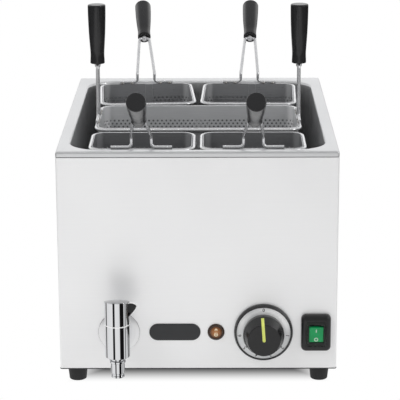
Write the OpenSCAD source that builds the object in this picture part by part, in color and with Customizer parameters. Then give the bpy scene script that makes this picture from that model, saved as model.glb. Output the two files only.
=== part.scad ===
// Countertop pasta cooker: a folded steel cabinet with a pressed water tank, five lift-out
// perforated baskets, a drain tap, a thermostat dial, a pilot lamp and a splash-proof switch.
// Millimetres, +Z up, the front faces -Y, origin on the table under the middle of the cabinet.

/* [Baskets] */
// Width of the middle basket over its rim wire
middle_w = 263; // [240:1:300]
// Depth of the middle basket over its rim wire
middle_d = 139; // [110:1:170]
// Width of each small basket over its rim wire
small_w = 130; // [100:1:140]
// Depth of each front basket over its rim wire
front_d = 92; // [60:1:110]
// Depth of each back basket over its rim wire
back_d = 135; // [100:1:160]
// Turn of the back left basket as it stands in the tank, degrees
back_left_turn = 3.5; // [-4:0.1:4]
// Turn of the back right basket as it stands in the tank, degrees
back_right_turn = -1.8; // [-4:0.1:4]
// Distance of the back left basket outwards from the front left one
back_left_shift = 4; // [0:0.5:6]
// Distance of the back right basket outwards from the front right one
back_right_shift = 0.5; // [0:0.5:6]
// Height of the baskets
basket_h = 154; // [120:1:200]
// Corner radius of the basket walls
basket_r = 11; // [8:0.5:16]
// Thickness of the perforated sheet
perf_sheet = 1; // [0.8:0.1:1.5]
// Diameter of the rim and handle wire
wire_d = 4; // [3:0.5:5]
// Width of the plain band under the rim
plain_band = 18; // [14:1:30]
// Diameter of a drain hole in the walls and floors
hole_d = 6; // [3:0.5:8]
// Distance between drain holes
hole_pitch = 12; // [10:0.5:20]

/* [Basket handles] */
// Spacing of a handle's legs at the rim
leg_gap = 24; // [20:1:34]
// Spacing of a handle's legs under the grip
neck_gap = 14; // [12:1:18]
// Length of each handle foot along the rim
handle_foot = 25; // [16:1:30]
// Upright start of a handle's legs
leg_rise = 13; // [11:1:20]
// Lean of the front baskets' handles from upright, degrees
front_lean = 62; // [45:1:70]
// Lean of the back baskets' handles from upright, degrees
back_lean = 63; // [45:1:70]
// Leaning length of the front baskets' handle legs
front_run = 76; // [60:1:110]
// Leaning length of the back baskets' handle legs
back_run = 80; // [60:1:110]
// Upright length of the middle basket's handle legs above their start
upright_run = 54; // [40:1:80]
// Bend radius of the wire
bend_r = 5; // [4:0.5:6]
// Length of a grip
grip_l = 76; // [60:1:100]
// Largest diameter of a grip
grip_d = 22; // [18:0.5:28]
// Diameter of a grip's neck
grip_neck_d = 17.6; // [15:0.1:20]
// Diameter of the stud that holds the grip
stud_d = 5; // [4:0.5:6]
// Length of the stud inside the grip
stud_l = 34; // [20:1:50]

/* [Tank] */
// Space between the basket rims and the tank's side walls
side_space = 22.5; // [15:0.5:40]
// Space in front of the front baskets
front_space = 7; // [5:0.5:30]
// Space behind the back baskets
back_space = 5; // [3:0.5:20]
// Space between the front and middle baskets
front_row_gap = 15; // [10:0.5:40]
// Space between the middle and back baskets
back_row_gap = 11; // [8:0.5:30]
// Space between two baskets side by side
column_gap = 5; // [3:0.5:30]
// Width of the flange at the sides
flange_side = 15; // [12:0.5:30]
// Width of the flange at the front
flange_front = 12; // [10:0.5:30]
// Width of the flange at the back
flange_back = 24; // [12:0.5:40]
// Height of the folded rim
rim_h = 7.5; // [6.5:0.5:14]
// Bullnose radius of the folded rim
rim_r = 5; // [3:0.5:6]
// Depth of the basket rims below the flange
rim_drop = 1.5; // [1:0.5:10]
// Corner radius of the tank in plan
tank_r = 40; // [30:1:50]
// Radius between the tank's walls and floor
tank_edge_r = 12; // [8:1:16]
// Height of the false bottom above the tank floor
false_h = 28; // [24:1:40]

/* [Cabinet] */
// Sheet thickness of the casing and tank
sheet = 1.2; // [1:0.1:2]
// Height of the service space under the tank
service_h = 90.8; // [85:0.1:120]
// Outer bend radius of the casing's front corners
corner_r = 2.5; // [2.2:0.1:4]
// Width of the casing's folded-in rear lips
lip_w = 14; // [12:1:20]
// Height of the base plate's upturned edge
base_edge = 12; // [8:1:20]
// Height of the rubber feet
foot_h = 20; // [15:1:30]
// Top diameter of the feet
foot_top_d = 25; // [20:1:32]
// Bottom diameter of the feet
foot_bottom_d = 21; // [18:1:28]
// Distance of the feet from the casing's sides
foot_side = 20; // [17:1:40]
// Distance of the feet from the casing's front and back
foot_end = 22; // [17:1:40]
// Width of a rear vent slot
vent_w = 46; // [30:1:60]
// Height of a rear vent slot
vent_h = 4; // [3:0.5:6]

/* [Front panel] */
// Height of the controls above the casing's lower edge
control_h = 48; // [44:1:55]
// Distance of the switch from the right edge
switch_margin = 7.5; // [5:0.5:15]
// Gap between dial and switch
dial_gap = 10; // [6:0.5:15]
// Gap between lamp and dial
lamp_gap = 11.7; // [6:0.1:15]
// Gap between badge and lamp
badge_gap = 8.6; // [6:0.1:15]
// Gap between tap rosette and badge
tap_gap = 11.7; // [6:0.1:15]
// Length of the bare badge plate
badge_w = 62.8; // [40:0.1:66]
// Height of the badge plate
badge_h = 21.4; // [14:0.1:26]
// Thickness of the badge plate
badge_t = 1.4; // [1:0.1:3]

/* [Thermostat and lamp] */
// Outer diameter of the dial
dial_d = 72; // [62:0.5:78]
// Width of the dial's black outer ring
dial_ring = 3; // [2:0.5:5]
// Height of the dial's outer ring above the panel
dial_ring_h = 3.6; // [3:0.1:6]
// Diameter of the knob's skirt
knob_d = 50.2; // [44:0.1:54]
// Diameter of the knob's front face
knob_face_d = 39.6; // [32:0.1:42]
// Distance from the panel to the back of the knob
knob_back = 8; // [6.5:0.1:10]
// Length of the knob's straight skirt
knob_skirt = 8; // [4:0.5:10]
// Height of the knob above its back
knob_h = 25; // [20:0.5:30]
// Width of the pointer bar
pointer_w = 3.6; // [2:0.1:5]
// Turn of the knob at rest from upright, degrees
pointer_turn = 4; // [0:1:20]
// Diameter of the thermostat spindle
spindle_d = 6; // [5:0.5:7]
// Diameter of the lamp bezel
lamp_d = 20.8; // [16:0.1:24]
// Diameter of the lamp lens
lens_d = 14.4; // [10:0.1:15]

/* [Switch] */
// Width of the switch frame
switch_w = 36.4; // [32:0.1:40]
// Height of the switch frame
switch_h = 46.5; // [40:0.1:50]
// Height of the switch frame above the panel
switch_rise = 9; // [7:0.5:12]
// Width of the rocker
rocker_w = 16; // [12:0.1:18]
// Height of the rocker
rocker_h = 20.4; // [18:0.1:24]
// Tilt of the rocker to each side, degrees
rocker_tilt = 8; // [5:1:10]

/* [Tap] */
// Diameter of the wall rosette
rosette_d = 50.7; // [40:0.1:56]
// Distance of the tap's axis from the panel
tap_reach = 42; // [34:1:50]
// Diameter of the tap's body
tap_d = 30; // [26:0.5:34]
// Height of the tap's lower body
tap_body_h = 41; // [34:1:46]
// Height of the turning cap
tap_cap_h = 31; // [26:1:38]
// Reach of the lever ear from the tap's axis
ear_reach = 23; // [19:0.5:28]
// Diameter of the spout
spout_d = 17; // [14:0.5:20]
// Length of the spout
spout_l = 26; // [18:1:28]
// Diameter of the tap's tail
tail_d = 18; // [16:0.5:22]

/* [Hidden] */
$fn = 64;

// Cut-through allowance, running clearance of pins and shafts, and free clearance of parts
cut = 1;
run_fit = 0.05;
free = 0.4;
hair = 0.1;

// Tank opening and cabinet, worked out from the baskets and the spaces around them
inner_w = max(middle_w, 2 * small_w + column_gap) + 2 * side_space;
inner_d = front_space + front_d + front_row_gap + middle_d + back_row_gap + back_d + back_space;
body_w = inner_w + 2 * flange_side;
body_d = flange_front + inner_d + flange_back;
front_y = -body_d / 2;
back_y = body_d / 2;
inner_front = front_y + flange_front;
inner_mid_y = inner_front + inner_d / 2;

// Heights
base_z = foot_h;
tank_under_z = base_z + service_h;
tank_floor_z = tank_under_z + sheet;
basket_z = tank_floor_z + false_h;
basket_top_z = basket_z + basket_h;
flange_z = basket_top_z + rim_drop;
casing_top_z = flange_z - rim_h;
control_z = base_z + control_h;

// Front panel places, from the right edge to the left
switch_x = body_w / 2 - switch_margin - switch_w / 2;
dial_x = switch_x - switch_w / 2 - dial_gap - dial_d / 2;
lamp_x = dial_x - dial_d / 2 - lamp_gap - lamp_d / 2;
badge_x = lamp_x - lamp_d / 2 - badge_gap - badge_w / 2;
tap_x = badge_x - badge_w / 2 - tap_gap - rosette_d / 2;

// Baskets: centre x, centre y, width, depth, turn of the handle side about Z, the handle's lean and length
small_x = (small_w + column_gap) / 2;
front_mid_y = inner_front + front_space + front_d / 2;
middle_mid_y = front_mid_y + front_d / 2 + front_row_gap + middle_d / 2;
back_mid_y = middle_mid_y + middle_d / 2 + back_row_gap + back_d / 2;
FRONT_LEFT = [-small_x, front_mid_y, small_w, front_d, 180, front_lean, front_run];
FRONT_RIGHT = [small_x, front_mid_y, small_w, front_d, 180, front_lean, front_run];
MIDDLE = [0, middle_mid_y, middle_w, middle_d, 0, 0, upright_run];
BACK_LEFT = [-small_x - back_left_shift, back_mid_y, small_w, back_d, back_left_turn, back_lean, back_run];
BACK_RIGHT = [small_x + back_right_shift, back_mid_y, small_w, back_d, back_right_turn, back_lean, back_run];
rim_z = basket_top_z - wire_d / 2;
handle_z = rim_z + wire_d;
floor_lift = 3;

// Grip outline from neck to end: share of the length, share of the way from neck to full radius
GRIP_SHAPE = [[0.08, 0.18], [0.3, 0.86], [0.4, 1], [0.6, 0.91]];
grip_end_share = 0.77;
grip_end_r = 4;
grip_neck_edge = 1.5;

// Thermostat, lamp and switch pieces behind the panel
panel_hole_d = 10;
bush_d = panel_hole_d - 2 * hair;
bush_l = 5;
thermostat_w = 44;
thermostat_h = 40;
thermostat_t = 34;
lamp_hole_d = 12;
lamp_body_l = 32;
lamp_rise = 2.6;
lamp_edge = 1.2;
lens_rise = 4;
dial_face_t = 2;
pointer_depth = 1;
pointer_proud = 0.5;
knob_edge = 1.2;
spindle_grip = 16;
switch_hole_w = rocker_w + 8;
switch_hole_h = rocker_h + 8;
switch_body_l = 30;
switch_wall = 2;
frame_r = 6;
frame_inset = 4;
rocker_depth = 9;
rocker_pivot = 5;
rocker_proud = 1.5;
rocker_dip = 1;
rocker_edge = 1;
rocker_axis = switch_rise - rocker_pivot + rocker_proud;
window_w = rocker_w + 2 * free;
window_h = rocker_h + 2 * free + rocker_edge;
pivot_d = 3;
pivot_l = 1.6;
cover_t = 1;
cover_rise = 6;
cover_r = 4;
cover_taper = 1;
cover_w = min(rocker_w + 9, switch_w - 2 * frame_inset);
cover_h = min(rocker_h + 10, switch_h - 2 * frame_inset);

// Tap heights and bores
tap_y = front_y - tap_reach;
tap_lift = 4.6;
tap_seam_z = control_z + tap_body_h / 2 + tap_lift;
tap_low_z = tap_seam_z - tap_body_h;
cap_seam = 0.3;
cap_edge = 1.2;
valve_d = 12;
tail_bore = 9;
tail_in = 16;
locknut_h = 6;
locknut_d = 1.6 * tail_d;
rosette_t = 2.4;
ear_w = 16;
ear_fall = 20;
stem_d = 8;
stem_in_cap = 20;
spout_bore = 11;
spout_collar_h = 2.4;
spout_collar_z = 7;

// Drain, element and probe in the tank
pipe_d = 20;
pipe_bore = 14;
pipe_bend = 18;
drain_back = 60;
element_d = 8.5;
element_lift = 14;
element_bend = 8;
element_side = 34;
element_end = 46;
element_leg = 18;
nut_flats = 17;
nut_h = 5;
probe_d = 6;
probe_l = 80;
capillary_d = 2;
false_gap = 6;
false_hole_d = 10;
false_pitch = 24;

// Screws and cable entry
screw_d = 4;
screw_head_d = 8;
screw_head_h = 2.2;
screw_l = 8;
rear_screw_in = 8;
gland_d = 16;
gland_cap_d = 24;
gland_neck_d = 20.4;
gland_x = -body_w / 2 + lip_w + gland_cap_d / 2 + screw_head_h;
gland_z = base_z + 40;
gland_l = 20;
cable_d = 9;
vent_rows = 7;
vent_step = 10;
block_w = 46;
block_d = 22;
block_h = 24;
terminals = 3;

steel = "#D9DADB";
dull_steel = "#A9ABAD";
black = "#232325";
chrome_c = "#E6E8EA";

// Plain rectangle with round corners
module rounded_rect(w, d, r) {
  square([w - 2 * r, d], center = true);
  square([w, d - 2 * r], center = true);
  for (x = [-1, 1], y = [-1, 1])
    translate([x * (w / 2 - r), y * (d / 2 - r)]) circle(r);
}

// Places a child on the front panel with its own Z pointing out of the panel
module on_panel(x) {
  translate([x, front_y, control_z]) rotate([90, 0, 0]) children();
}

// Wire bending: straight runs between the points, each corner a true arc
function unit(v) = v / norm(v);
function turn_at(p, i) = acos(unit(p[i] - p[i - 1]) * unit(p[i + 1] - p[i]));
function setback(p, i, r) = (i == 0 || i == len(p) - 1) ? 0 : r * tan(turn_at(p, i) / 2);

// Moves local Z onto the line from a to b
module along(a, b) {
  v = b - a;
  translate(a) rotate([0, acos(v.z / norm(v)), atan2(v.y, v.x)]) children();
}

module wire_bend(p, i, r, d) {
  a = unit(p[i] - p[i - 1]);
  b = unit(p[i + 1] - p[i]);
  turn = turn_at(p, i);
  n = unit(cross(a, b));
  c = p[i] + unit(b - a) * r / cos(turn / 2);
  e = unit(p[i] - a * setback(p, i, r) - c);
  multmatrix([[e.x, a.x, n.x, c.x], [e.y, a.y, n.y, c.y], [e.z, a.z, n.z, c.z], [0, 0, 0, 1]])
    rotate_extrude(angle = turn) translate([r, 0]) circle(d = d);
}

module bent_wire(p, r, d) {
  for (i = [0:len(p) - 2]) {
    u = unit(p[i + 1] - p[i]);
    a = p[i] + u * setback(p, i, r);
    b = p[i + 1] - u * setback(p, i + 1, r);
    along(a, b) cylinder(h = norm(b - a), d = d);
  }
  for (i = [1:len(p) - 2]) wire_bend(p, i, r, d);
}

// The same bent path as points, for a wire whose bends lie in slanting planes
bend_steps = 5;
wire_sides = 12;
function bend_points(p, i, r) =
  let (a = unit(p[i] - p[i - 1]), b = unit(p[i + 1] - p[i]), turn = turn_at(p, i),
       c = p[i] + unit(b - a) * r / cos(turn / 2), e = unit(p[i] - a * setback(p, i, r) - c))
  [for (k = [0:bend_steps]) c + r * (e * cos(turn * k / bend_steps) + a * sin(turn * k / bend_steps))];
function bent_route(p, r) =
  [p[0], for (i = [1:len(p) - 2]) each bend_points(p, i, r), p[len(p) - 1]];

// Each ring is the last one slid along the wire to the plane that halves the next corner
function ring_plane(q, k) = k == len(q) - 1 ? unit(q[k] - q[k - 1]) :
  unit(unit(q[k] - q[k - 1]) + unit(q[k + 1] - q[k]));
function slid(ring, q, k) = let (u = unit(q[k] - q[k - 1]), n = ring_plane(q, k))
  [for (v = ring) v + u * (((q[k] - v) * n) / (u * n))];
function rings(q, ring, k = 1) = k == len(q) ? [ring] : concat([ring], rings(q, slid(ring, q, k), k + 1));
function start_ring(q, d) = let (u = unit(q[1] - q[0]), side = unit(cross(u, [0, 0, 1])), up = cross(side, u))
  [for (j = [0:wire_sides - 1])
    q[0] + d / 2 * (side * cos(360 * j / wire_sides) + up * sin(360 * j / wire_sides))];

module swept_wire(p, r, d) {
  q = bent_route(p, r);
  last = len(q) - 1;
  m = wire_sides;
  polyhedron(
    points = [for (ring = rings(q, start_ring(q, d))) each ring],
    faces = concat(
      [for (k = [0:last - 1], j = [0:m - 1]) each [
        [k * m + j, k * m + (j + 1) % m, (k + 1) * m + j],
        [k * m + (j + 1) % m, (k + 1) * m + (j + 1) % m, (k + 1) * m + j]]],
      [for (j = [1:m - 2]) [0, j + 1, j]],
      [for (j = [1:m - 2]) [last * m, last * m + j, last * m + j + 1]]));
}

// Solid block with round vertical corners and a round lower edge
module pan_block(w, d, r, e, h) {
  translate([0, 0, e]) linear_extrude(h - e) rounded_rect(w, d, r);
  linear_extrude(h) rounded_rect(w - 2 * e, d - 2 * e, r - e);
  for (s = [0, 180]) {
    rotate(s) translate([w / 2 - e, 0, e]) rotate([90, 0, 0])
      cylinder(h = d - 2 * r, r = e, center = true);
    rotate(s) translate([0, d / 2 - e, e]) rotate([0, 90, 0])
      cylinder(h = w - 2 * r, r = e, center = true);
  }
  for (x = [-1, 1], y = [-1, 1])
    translate([x * (w / 2 - r), y * (d / 2 - r), e]) rotate_extrude()
      intersection() {
        translate([r - e, 0]) circle(e);
        translate([0, -e]) square([r, 2 * e]);
      }
}

// Block with its four top edges rolled over, the rolls mitred at the corners
module rolled_block(w, d, h, r) {
  intersection() {
    rotate([90, 0, 0]) linear_extrude(d, center = true) rolled_profile(w, h, r);
    rotate([90, 0, 90]) linear_extrude(w, center = true) rolled_profile(d, h, r);
  }
}

module rolled_profile(w, h, r) {
  intersection() {
    translate([-w / 2, 0]) square([w, h]);
    union() {
      translate([-w / 2, 0]) square([w, h - r]);
      translate([-w / 2 + r, 0]) square([w - 2 * r, h]);
      for (x = [-1, 1]) translate([x * (w / 2 - r), h - r]) circle(r);
    }
  }
}

// Casing: front and sides in one fold, with rear lips
module body_shell() {
  h = casing_top_z - base_z;
  color(steel) difference() {
    translate([0, 0, base_z]) linear_extrude(h) shell_plan();
    on_panel(tap_x) cylinder(h = 4 * sheet, d = tail_d + 2 * hair, center = true);
    on_panel(lamp_x) cylinder(h = 4 * sheet, d = lamp_hole_d + 2 * hair, center = true);
    on_panel(dial_x) cylinder(h = 4 * sheet, d = panel_hole_d, center = true);
    on_panel(switch_x) linear_extrude(4 * sheet, center = true)
      square([switch_hole_w, switch_hole_h], center = true);
    rear_screw_places() cylinder(h = 6 * sheet, d = screw_d + 2 * hair, center = true);
  }
}

module shell_plan() {
  difference() {
    union() {
      translate([-body_w / 2 + corner_r, front_y]) square([body_w - 2 * corner_r, body_d - sheet]);
      translate([-body_w / 2, front_y + corner_r]) square([body_w, body_d - sheet - corner_r]);
      for (x = [-1, 1]) translate([x * (body_w / 2 - corner_r), front_y + corner_r]) circle(corner_r);
    }
    translate([-body_w / 2 + corner_r, front_y + sheet])
      square([body_w - 2 * corner_r, body_d - 3 * sheet]);
    translate([-body_w / 2 + sheet, front_y + corner_r])
      square([body_w - 2 * sheet, body_d - 2 * sheet - corner_r]);
    for (x = [-1, 1])
      translate([x * (body_w / 2 - corner_r), front_y + corner_r]) circle(corner_r - sheet);
    translate([-body_w / 2 + lip_w, 0]) square([body_w - 2 * lip_w, body_d]);
  }
}

// Rear panel with two banks of vent slots and the cable entry
module rear_panel() {
  h = casing_top_z - base_z;
  color(steel) difference() {
    translate([-body_w / 2, back_y - sheet, base_z]) cube([body_w, sheet, h]);
    for (x = [-1, 1], k = [0:vent_rows - 1])
      translate([x * body_w / 4, back_y, tank_under_z - vent_h - k * vent_step])
        rotate([90, 0, 0]) linear_extrude(6 * sheet, center = true) vent_slot();
    translate([gland_x, back_y, gland_z]) rotate([90, 0, 0])
      cylinder(h = 6 * sheet, d = gland_d + 2 * hair, center = true);
    rear_screw_places() cylinder(h = 6 * sheet, d = screw_d + 2 * hair, center = true);
  }
}

module vent_slot() {
  square([vent_w - vent_h, vent_h], center = true);
  for (x = [-1, 1]) translate([x * (vent_w - vent_h) / 2, 0]) circle(d = vent_h);
}

module rear_screw_places() {
  for (x = [-1, 1], z = [base_z + base_edge + screw_head_d, (base_z + casing_top_z) / 2,
                         casing_top_z - screw_head_d])
    translate([x * (body_w / 2 - rear_screw_in), back_y, z]) rotate([-90, 0, 0]) children();
}

// Screws that hold the rear panel to the casing's lips
module panel_screws() {
  color(chrome_c) rear_screw_places() {
    translate([0, 0, -screw_l]) cylinder(h = screw_l, d = screw_d);
    intersection() {
      cylinder(h = screw_head_h, d = screw_head_d);
      translate([0, 0, screw_head_h - screw_head_d]) sphere(screw_head_d);
    }
  }
}

// Base plate with upturned edges inside the casing
module base_plate() {
  w = body_w - 2 * sheet;
  d = body_d - 3 * sheet;
  color(dull_steel) difference() {
    translate([0, -sheet / 2, base_z]) linear_extrude(base_edge) rounded_rect(w, d, corner_r);
    translate([0, -sheet / 2, base_z + sheet])
      linear_extrude(base_edge) rounded_rect(w - 2 * sheet, d - 2 * sheet, corner_r - sheet);
    foot_places() cylinder(h = 6 * sheet, d = screw_d + 2 * hair, center = true);
    for (x = [-1, 1], k = [0:vent_rows - 1])
      translate([x * body_w / 5, k * 2 * vent_step - vent_rows * vent_step, base_z])
        linear_extrude(6 * sheet, center = true) vent_slot();
  }
}

module foot_places() {
  for (x = [-1, 1], y = [-1, 1])
    translate([x * (body_w / 2 - foot_side), y * (body_d / 2 - foot_end), base_z]) children();
}

// Tapered rubber feet, each with a recess for its screw
module rubber_feet() {
  color(black) foot_places() difference() {
    translate([0, 0, -foot_h]) cylinder(h = foot_h, d1 = foot_bottom_d, d2 = foot_top_d);
    translate([0, 0, -foot_h - cut])
      cylinder(h = foot_h / 2 + cut, d = screw_head_d + 2 * free);
    translate([0, 0, -foot_h]) cylinder(h = foot_h + cut, d = screw_d + 2 * hair);
  }
}

module foot_screws() {
  color(chrome_c) foot_places() {
    translate([0, 0, -foot_h / 2]) cylinder(h = foot_h / 2 + screw_l, d = screw_d);
    translate([0, 0, -foot_h / 2 - screw_head_h]) cylinder(h = screw_head_h, d = screw_head_d);
  }
}

// Water tank, pressed with its flange and rolled rim
module basin() {
  pan_w = inner_w + 2 * sheet;
  pan_d = inner_d + 2 * sheet;
  color(steel) difference() {
    union() {
      translate([0, 0, casing_top_z]) difference() {
        rolled_block(body_w, body_d, rim_h, rim_r);
        translate([0, 0, -cut])
          rolled_block(body_w - 2 * sheet, body_d - 2 * sheet, rim_h - sheet + cut, rim_r - sheet);
      }
      translate([0, inner_mid_y, tank_under_z])
        pan_block(pan_w, pan_d, tank_r + sheet, tank_edge_r + sheet, flange_z - tank_under_z - sheet / 2);
    }
    translate([0, inner_mid_y, tank_floor_z])
      pan_block(inner_w, inner_d, tank_r, tank_edge_r, flange_z - tank_floor_z + cut);
    translate([tap_x, drain_y(), tank_under_z]) cylinder(h = 6 * sheet, d = pipe_bore, center = true);
    for (x = [-1, 1]) translate([x * element_x(), element_back(), tank_under_z])
      cylinder(h = 6 * sheet, d = element_d + 2 * hair, center = true);
    translate([dial_x, probe_y(), tank_under_z])
      cylinder(h = 6 * sheet, d = capillary_d + 2 * hair, center = true);
  }
}

function drain_y() = front_y + drain_back;
function element_x() = inner_w / 2 - element_side;
function element_front() = inner_front + element_end;
function element_back() = inner_front + inner_d - element_end;
function probe_y() = drain_y() + 2 * pipe_d;

// Perforated plate that keeps the baskets off the element
module false_bottom() {
  w = inner_w - 2 * (false_gap + tank_edge_r);
  d = inner_d - 2 * (false_gap + tank_edge_r);
  r = tank_r - tank_edge_r;
  nx = floor((w / 2 - r) / false_pitch);
  ny = floor((d / 2 - r) / false_pitch);
  color(steel) translate([0, inner_mid_y, 0]) {
    translate([0, 0, basket_z - sheet]) linear_extrude(sheet) difference() {
      rounded_rect(w, d, r);
      for (i = [-nx:nx], j = [-ny:ny])
        translate([i * false_pitch, j * false_pitch]) circle(d = false_hole_d);
    }
    for (s = [0, 180]) rotate(s)
      translate([w / 2 - sheet, -d / 2 + r, tank_floor_z]) cube([sheet, d - 2 * r, false_h - sheet]);
  }
}

// Tubular heating element, three runs back and forth, both ends down through the tank floor
module heating_element() {
  x = element_x();
  z = tank_floor_z + element_lift;
  low = tank_under_z - element_leg;
  color(dull_steel) bent_wire([
    [x, element_back(), low], [x, element_back(), z], [x, element_front(), z],
    [x / 3, element_front(), z], [x / 3, element_back() - element_end, z],
    [-x / 3, element_back() - element_end, z], [-x / 3, element_front(), z],
    [-x, element_front(), z], [-x, element_back(), z], [-x, element_back(), low]
  ], element_bend, element_d);
}

// Gland nuts above and below the tank floor
module element_nuts() {
  color("#C9A55B") for (x = [-1, 1], z = [tank_under_z - nut_h, tank_floor_z])
    translate([x * element_x(), element_back(), z]) difference() {
      cylinder(h = nut_h, d = nut_flats / cos(30), $fn = 6);
      translate([0, 0, -cut]) cylinder(h = nut_h + 2 * cut, d = element_d + 2 * hair);
    }
}

// Thermostat bulb on the tank floor, with its capillary down to the thermostat
module thermostat_probe() {
  z = tank_floor_z + probe_d / 2;
  color("#B87F55") {
    translate([dial_x - probe_l, probe_y(), z]) rotate([0, 90, 0])
      cylinder(h = probe_l - 2 * probe_d, d = probe_d);
    bent_wire([
      [dial_x - 2 * probe_d, probe_y(), z], [dial_x, probe_y(), z],
      [dial_x, probe_y(), control_z], [dial_x, front_y + sheet + thermostat_t, control_z]
    ], 2 * capillary_d, capillary_d);
  }
}

// Drain pipe from the tank floor to the tap
module drain_elbow() {
  top = [tap_x, drain_y(), tank_under_z];
  corner = [tap_x, drain_y(), control_z];
  end = [tap_x, front_y + tail_in, control_z];
  color(dull_steel) difference() {
    bent_wire([top, corner, end], pipe_bend, pipe_d);
    bent_wire([top + [0, 0, cut], corner, end - [0, cut, 0]], pipe_bend, pipe_bore);
  }
}

module tap_locknut() {
  color("#C9A55B") on_panel(tap_x) translate([0, 0, -sheet - locknut_h]) difference() {
    cylinder(h = locknut_h, d = locknut_d, $fn = 6);
    translate([0, 0, -cut]) cylinder(h = locknut_h + 2 * cut, d = tail_d + 2 * hair);
  }
}

// Wall disc behind the tap, slightly coned
module tap_rosette() {
  color(chrome_c) on_panel(tap_x) difference() {
    union() {
      cylinder(h = rosette_t / 2, d = rosette_d);
      translate([0, 0, rosette_t / 2])
        cylinder(h = rosette_t / 2, d1 = rosette_d, d2 = rosette_d - 4 * rosette_t);
    }
    translate([0, 0, -cut]) cylinder(h = rosette_t + 2 * cut, d = tail_d + 2 * hair);
  }
}

// Upright tap body with its tail through the panel
module tap_body() {
  color(chrome_c) difference() {
    union() {
      translate([tap_x, tap_y, tap_low_z]) edged_cylinder(tap_body_h, tap_d, cap_edge, true, false);
      on_panel(tap_x) translate([0, 0, -tail_in]) cylinder(h = tail_in + tap_reach, d = tail_d);
    }
    translate([tap_x, tap_y, tap_low_z - cut]) cylinder(h = tap_body_h + 2 * cut, d = valve_d);
    on_panel(tap_x) translate([0, 0, -tail_in - cut])
      cylinder(h = tail_in + tap_reach + cut, d = tail_bore);
  }
}

// Round bar with its lower or upper edge bevelled
module edged_cylinder(h, d, e, low, high) {
  lo = low ? e : 0;
  hi = high ? e : 0;
  rotate_extrude() polygon([
    [0, 0], [d / 2 - lo, 0], [d / 2, lo], [d / 2, h - hi], [d / 2 - hi, h], [0, h]
  ]);
}

// Spout with its collar
module tap_spout() {
  color(chrome_c) translate([tap_x, tap_y, tap_low_z - spout_l]) difference() {
    union() {
      edged_cylinder(spout_l, spout_d, cap_edge, true, false);
      translate([0, 0, spout_l - spout_collar_z])
        cylinder(h = spout_collar_h, d = spout_d + 2 * cap_edge);
    }
    translate([0, 0, -cut]) cylinder(h = spout_l + 2 * cut, d = spout_bore);
  }
}

// Valve plug and stem, turned by the cap
module tap_stem() {
  color("#C9A55B") translate([tap_x, tap_y, 0]) difference() {
    union() {
      translate([0, 0, tap_low_z + cap_edge])
        cylinder(h = tap_body_h - cap_edge, d = valve_d - 2 * run_fit);
      translate([0, 0, tap_seam_z]) cylinder(h = cap_seam + stem_in_cap, d = stem_d);
    }
    translate([0, 0, control_z]) rotate([0, 90, 0])
      cylinder(h = 2 * valve_d, d = tail_bore, center = true);
  }
}

// Turning cap with the lever ear on its right side
module tap_handle() {
  z = tap_seam_z + cap_seam;
  h = tap_cap_h - cap_seam;
  color(chrome_c) translate([tap_x, tap_y, z]) difference() {
    union() {
      edged_cylinder(h, tap_d, cap_edge / 2, false, true);
      translate([0, ear_w / 2, h]) rotate([90, 0, 0]) linear_extrude(ear_w) ear_profile();
    }
    translate([0, 0, -cut]) cylinder(h = stem_in_cap + cut, d = stem_d + 2 * hair);
  }
}

// Side outline of the ear, below its top edge
module ear_profile() {
  nose_r = ear_fall / 4;
  nose_x = ear_reach - 0.6 * nose_r;
  nose_h = 0.8 * nose_r;
  polygon([
    [0, -cap_edge / 2], [tap_d / 2, -cap_edge], [nose_x, -ear_fall / 2 + nose_h],
    [nose_x, -ear_fall / 2 - nose_h], [tap_d / 2 - cap_edge, -ear_fall], [0, -ear_fall]
  ]);
  translate([ear_reach - nose_r, -ear_fall / 2]) circle(nose_r);
}

// Bare badge plate with round ends
module badge_plate() {
  color(black) on_panel(badge_x) linear_extrude(badge_t) rounded_rect(badge_w, badge_h, badge_h / 2 - hair);
}

// Pilot lamp
module lamp_bezel() {
  color("#8A5A2B") on_panel(lamp_x) rotate_extrude() polygon([
    [lens_d / 2 + hair, 0], [lamp_d / 2, 0], [lamp_d / 2, lamp_edge],
    [lamp_d / 2 - lamp_edge, lamp_rise], [lens_d / 2 + hair, lamp_rise]
  ]);
}

module lamp_lens() {
  color("#C9822F") on_panel(lamp_x) intersection() {
    cylinder(h = lens_d, d = lens_d);
    translate([0, 0, lens_rise - lens_d]) sphere(lens_d);
  }
}

module lamp_body() {
  color("#E8E4DA") on_panel(lamp_x) translate([0, 0, -lamp_body_l])
    cylinder(h = lamp_body_l, d = lamp_hole_d);
}

// Dial: black ring with a silver face inside
module dial_bezel() {
  color(black) on_panel(dial_x) rotate_extrude() polygon([
    [dial_d / 2 - dial_ring, 0], [dial_d / 2, 0], [dial_d / 2, dial_ring_h / 2],
    [dial_d / 2 - dial_ring / 2, dial_ring_h], [dial_d / 2 - dial_ring, dial_ring_h]
  ]);
}

module dial_face() {
  color("#CFCFD0") on_panel(dial_x) difference() {
    cylinder(h = dial_face_t, d = dial_d - 2 * dial_ring - 2 * hair);
    translate([0, 0, -cut]) cylinder(h = dial_face_t + 2 * cut, d = panel_hole_d);
  }
}

// Thermostat behind the panel, its bush through the panel
module thermostat_body() {
  color("#E8E4DA") on_panel(dial_x) difference() {
    union() {
      translate([-thermostat_w / 2, -thermostat_h / 2, -sheet - thermostat_t])
        cube([thermostat_w, thermostat_h, thermostat_t]);
      translate([0, 0, -sheet]) cylinder(h = bush_l, d = bush_d);
    }
    translate([0, 0, -sheet - thermostat_t / 2])
      cylinder(h = thermostat_t, d = spindle_d + 2 * run_fit);
  }
}

module thermostat_spindle() {
  color(dull_steel) on_panel(dial_x) translate([0, 0, -sheet - thermostat_t / 2 + free])
    cylinder(h = sheet + thermostat_t / 2 - free + knob_back + spindle_grip, d = spindle_d);
}

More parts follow.
